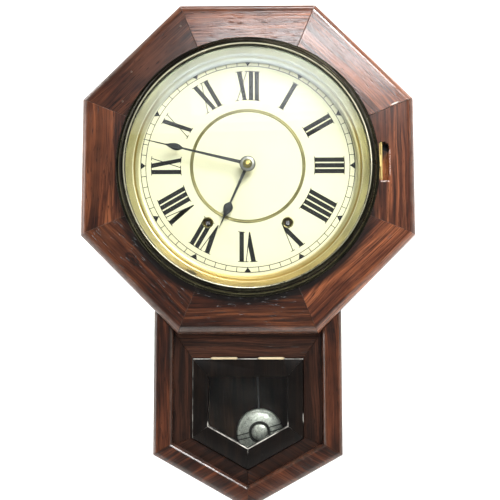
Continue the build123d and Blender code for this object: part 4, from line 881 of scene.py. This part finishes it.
def letter_x(left, right, turn):
    middle_u = (left + right) / 2
    band(middle_u + 3.9, middle_u - 3.9, 5.2, 6.0, turn)
    band(middle_u - 6.45, middle_u + 6.45, HAIR, HAIR, turn)
    return ((middle_u - 8.7, middle_u + 0.9, True), (middle_u + 3.6, middle_u + 9.1, True),
            (middle_u - 9.1, middle_u - 3.6, False), (middle_u - 0.4, middle_u + 8.3, False))


def numeral(letters, turn):
    """Roman numeral, its foot towards the centre. Each letter returns where its serifs go."""
    widths = [LONE_V if letters == "V" else LETTER_WIDE[letter] for letter in letters]
    left = -(sum(widths) + GAP * (len(letters) - 1)) / 2 - (2.5 if letters == "V" else 0.0)
    for letter, wide in zip(letters, widths):
        for low, high, outward in LETTERS[letter](left, left + wide, turn):
            serif(low, high, outward, turn)
        left += wide + GAP


LETTERS = {"I": letter_i, "V": letter_v, "X": letter_x}
NUMERALS = ("I", "II", "III", "IIII", "V", "VI", "VII", "VIII", "IX", "X", "XI", "XII")
for hour, letters in enumerate(NUMERALS, 1):
    numeral(letters, 30 * hour)
for minute in range(60):
    if minute % 5 == 0:
        printed([(-MARK_HALF, TRACK_OUT), (0, TRACK_IN), (MARK_HALF, TRACK_OUT)], 6 * minute)
    else:
        printed([(-LINE / 2, TRACK_IN), (LINE / 2, TRACK_IN), (LINE / 2, TRACK_OUT), (-LINE / 2, TRACK_OUT)],
                6 * minute)
for radius in (TRACK_IN, TRACK_OUT):
    lathe(bm, [(radius - LINE / 2, INK_LOW), (radius - LINE / 2, INK_HIGH), (radius + LINE / 2, INK_HIGH),
               (radius + LINE / 2, INK_LOW)], level=DIAL_Z, steps=240)
finish_piece("dial_printing", bm, "case", "dial_paint", INK)

# ---------------------------------------------------------------- hands
hour_off = mm_box("hour_hand")[1]
minute_off = mm_box("minute_hand")[1]


def hand_edge(hub, bulge, tip, widths):
    """Left edge of a hand that points up: tapering shaft, pear-shaped bulge and fine point."""
    start, widest, end, half = bulge
    peak = (widest - start) / (end - start)
    points = [(-widths[0], hub + 0.5), (-widths[1], start)]
    for k in range(1, 15):
        along = k / 14
        rising = math.sin(math.pi / 2 * min(along / peak, 1.0)) ** 0.7
        falling = max(0.0, math.cos(math.pi / 2 * (along - peak) / (1 - peak))) ** 1.6
        swell = rising if along < peak else falling
        points.append((-max(widths[1] * 0.75, half * swell), start + (end - start) * along))
    return points + [(-widths[1] * 0.7, end + 0.3 * (tip - end)), (-0.3, tip - 0.4)]


def hand(name, node, turn, offs, hub, bulge, tip, widths, body, boss):
    """Forged hand with a round hub. bulge is its start, widest place, end and half width, and boss is the
    section of the turned collar, as radius and rise.
    """
    hub_mouth, hub_steps = 14, 40
    hub_sweep = 360 - 2 * hub_mouth
    outline = [polar(hub, 90 - hub_mouth - hub_sweep * k / hub_steps) for k in range(hub_steps + 1)]
    left_side = hand_edge(hub, bulge, tip, widths)
    outline += left_side + [(0, tip)] + [(-x, z) for x, z in reversed(left_side)]
    cos_turn, sin_turn = polar(1.0, turn)
    turned = [(x * cos_turn + z * sin_turn, -x * sin_turn + z * cos_turn) for x, z in outline]
    bm = bmesh.new()
    _, top = plate(bm, turned, offs, DIAL_Z)
    edges = [bm.edges.get(ends) for ends in zip(top, top[1:] + top[:1])]
    bmesh.ops.bevel(bm, geom=[edge for edge in edges if edge], offset=0.22 * MM, segments=2, profile=0.5,
                    affect="EDGES", clamp_overlap=True)
    lathe(bm, [(r, offs[1] + rise) for r, rise in boss], level=DIAL_Z, steps=72)
    finish_piece(name, bm, body, "blued_hands", replaced=(node,), sharp=50)


HOUR_TURN, MINUTE_TURN = 204.0, 283.6  # clockwise from twelve
hand("hour_hand_forged", "hour_hand", HOUR_TURN, hour_off, 7.4, (54.6, 61.0, 77.0, 6.2), 92.0, (2.1, 1.1),
     "hour_work", [(4.6, -0.2), (6.6, -0.2), (6.4, 0.15), (5.4, 0.35), (4.6, 0.4)])
hand("minute_hand_forged", "minute_hand", MINUTE_TURN, minute_off, 10.3, (86.5, 95.5, 113.0, 4.6), 139.5,
     (2.1, 1.1), "minute_work",
     [(3.6, -0.2), (9.7, -0.2), (9.5, 0.2), (8.6, 0.6), (7.2, 0.85), (3.6, 0.95)])

# ---------------------------------------------------------------- pendulum bob
STRAP_START, STRAP_LONG, STRAP_SUNK = 12.6, 15.0, 2.9  # where the strap starts, its length, its sunk end
bob_face = [(17.0, 5.7), (23.0, 4.3), (27.5, 2.7), (28.3, 2.9), (29.6, 2.3), (30.6, 1.2)]  # radius and rise
bob = [(0.01, 7.4), (0.9, 7.5), (1.3, 8.0), (6.0, 7.7), (9.6, 7.1), (10.8, 6.4), (11.3, 5.0), (13.0, 5.0),
       (13.6, 6.0), *bob_face, (BOB_R - 0.1, 0.0), (30.2, -1.4), (24.0, -4.4), (12.0, -6.4), (0.01, -6.9)]
bm = bmesh.new()
lathe(bm, [(radius, BOB_MID + rise) for radius, rise in bob], (BOB_X, BOB_Z - OCT_Z), steps=120, closed=False)


def bob_rise(radius):
    """Rise of the bob's front at a radius. In the groove round the boss the strap's end is sunk."""
    front = [(13.0, 5.0), (13.6, 6.0), *bob_face]
    for (r0, rise0), (r1, rise1) in zip(front, front[1:]):
        if r0 <= radius <= r1:
            return rise0 + (rise1 - rise0) * (radius - r0) / (r1 - r0)
    return STRAP_SUNK


# Embossed strap on each side of the boss
tilt_cos, tilt_sin = polar(1.0, STRAP_TILT)
strap = ((-STRAP_HALF, -1.0), (STRAP_HALF, -1.0), (STRAP_HALF - 0.5, 0.75), (0.5 - STRAP_HALF, 0.75))
for side in (-1, 1):
    sections = []
    for k in range(13):
        u = side * (STRAP_START + STRAP_LONG * k / 12)
        places = [at(BOB_X + u * tilt_cos - v * tilt_sin, BOB_MID + bob_rise(abs(u)) + rise,
                     BOB_Z - OCT_Z + u * tilt_sin + v * tilt_cos) for v, rise in strap]
        sections.append([bm.verts.new(place) for place in places])
    loft(bm, sections)
finish_piece("bob_shell", bm, "pendulum", "bob_metal", replaced=("pendulum_bob",), sharp=45)

# ---------------------------------------------------------------- stage, lights, camera
STAGE = plain_paint("stage paint", (0.9, 0.9, 0.885))


def stage_sheet():
    """Floor that curves up into a backdrop round three sides, far enough off to walk round."""
    bm = bmesh.new()
    floor_z, radius, half, back_y, corner = -1.15, 0.8, 3.6, 3.0, 1.8
    path = [(-half, -2.6, -1.0, 0.0)]
    for cx, start in ((corner - half, 180), (half - corner, 90)):
        for k in range(9):
            x, y = polar(1.0, start - 90 * k / 8)
            path.append((cx + corner * x, back_y - corner + corner * y, x, y))
    path.append((half, -2.6, 1.0, 0.0))
    curve = [(radius * (1 - math.sin(a)), floor_z + radius * (1 - math.cos(a)))
             for a in (math.radians(9 * k) for k in range(11))] + [(0.0, 6.0)]
    columns = []
    for x, y, nx, ny in path:
        columns.append([bm.verts.new((x - nx * inset, y - ny * inset, z)) for inset, z in curve])
    for a, b in zip(columns, columns[1:]):
        for i in range(len(curve) - 1):
            bm.faces.new([a[i], a[i + 1], b[i + 1], b[i]])
    bm.faces.new([column[0] for column in columns])
    mesh = bpy.data.meshes.new("stage_sheet")
    bm.to_mesh(mesh)
    bm.free()
    mesh.shade_smooth()
    mesh.materials.append(STAGE)
    sheet = bpy.data.objects.new("stage_sheet", mesh)
    bpy.context.scene.collection.objects.link(sheet)


def lamp(name, place, target, size, watts, colour=(1, 1, 1)):
    """Soft rectangular lamp aimed at a point."""
    light = bpy.data.lights.new(name, "AREA")
    light.shape = "RECTANGLE"
    light.size, light.size_y = size
    light.energy = watts
    light.color = colour
    thing = bpy.data.objects.new(name, light)
    thing.location = place
    thing.rotation_euler = (Vector(target) - Vector(place)).to_track_quat("-Z", "Y").to_euler()
    bpy.context.scene.collection.objects.link(thing)


stage_sheet()
CENTRE = (0, 0, -0.25)
lamp("key", (1.0, -1.75, 1.55), CENTRE, (0.6, 0.6), 44, (1.0, 0.985, 0.96))
lamp("left", (-2.4, -0.6, -0.3), CENTRE, (0.5, 1.6), 15)
lamp("overhead", (0.15, -0.45, 1.6), CENTRE, (0.7, 0.3), 9)
lamp("sky", (0.35, -3.0, 1.14), CENTRE, (1.2, 0.24), 22, (0.96, 0.98, 1.0))
lamp("strip", (1.2, -3.0, 1.8), CENTRE, (0.9, 0.3), 16)
for k in range(5):  # nested, so that the glass mirrors one window with a soft edge
    width, height = 1.9 - 0.3 * k, 0.62 - 0.09 * k
    lamp(f"window_{k}", (0.32, -3.0 - 0.01 * k, 0.9), CENTRE, (width, height), 1.65 * width * height,
         (0.92, 0.97, 1.0))
for side in (-1, 1):
    lamp(f"backdrop_{side}", (2.6 * side, 0.6, 1.6), (0.3 * side, 3.0, -0.3), (1.2, 1.2), 95)
world = bpy.data.worlds.new("studio")
world.use_nodes = True
world.node_tree.nodes["Background"].inputs["Color"].default_value = (0.95, 0.97, 1.0, 1)
world.node_tree.nodes["Background"].inputs["Strength"].default_value = 0.12
bpy.context.scene.world = world
bpy.context.scene.view_settings.view_transform = "Standard"

# Fitted to the photo by the octagon, the dial and the drop
camera_data = bpy.data.cameras.new("camera")
camera_data.lens = 64.8
camera_data.sensor_width = 36.0
camera = bpy.data.objects.new("camera", camera_data)
camera.location = (0.0192, -1.248, -0.3738)
camera.rotation_euler = (math.radians(95.72), math.radians(0.04), math.radians(0.81))
bpy.context.scene.collection.objects.link(camera)
bpy.context.scene.camera = camera

bpy.context.view_layer.update()
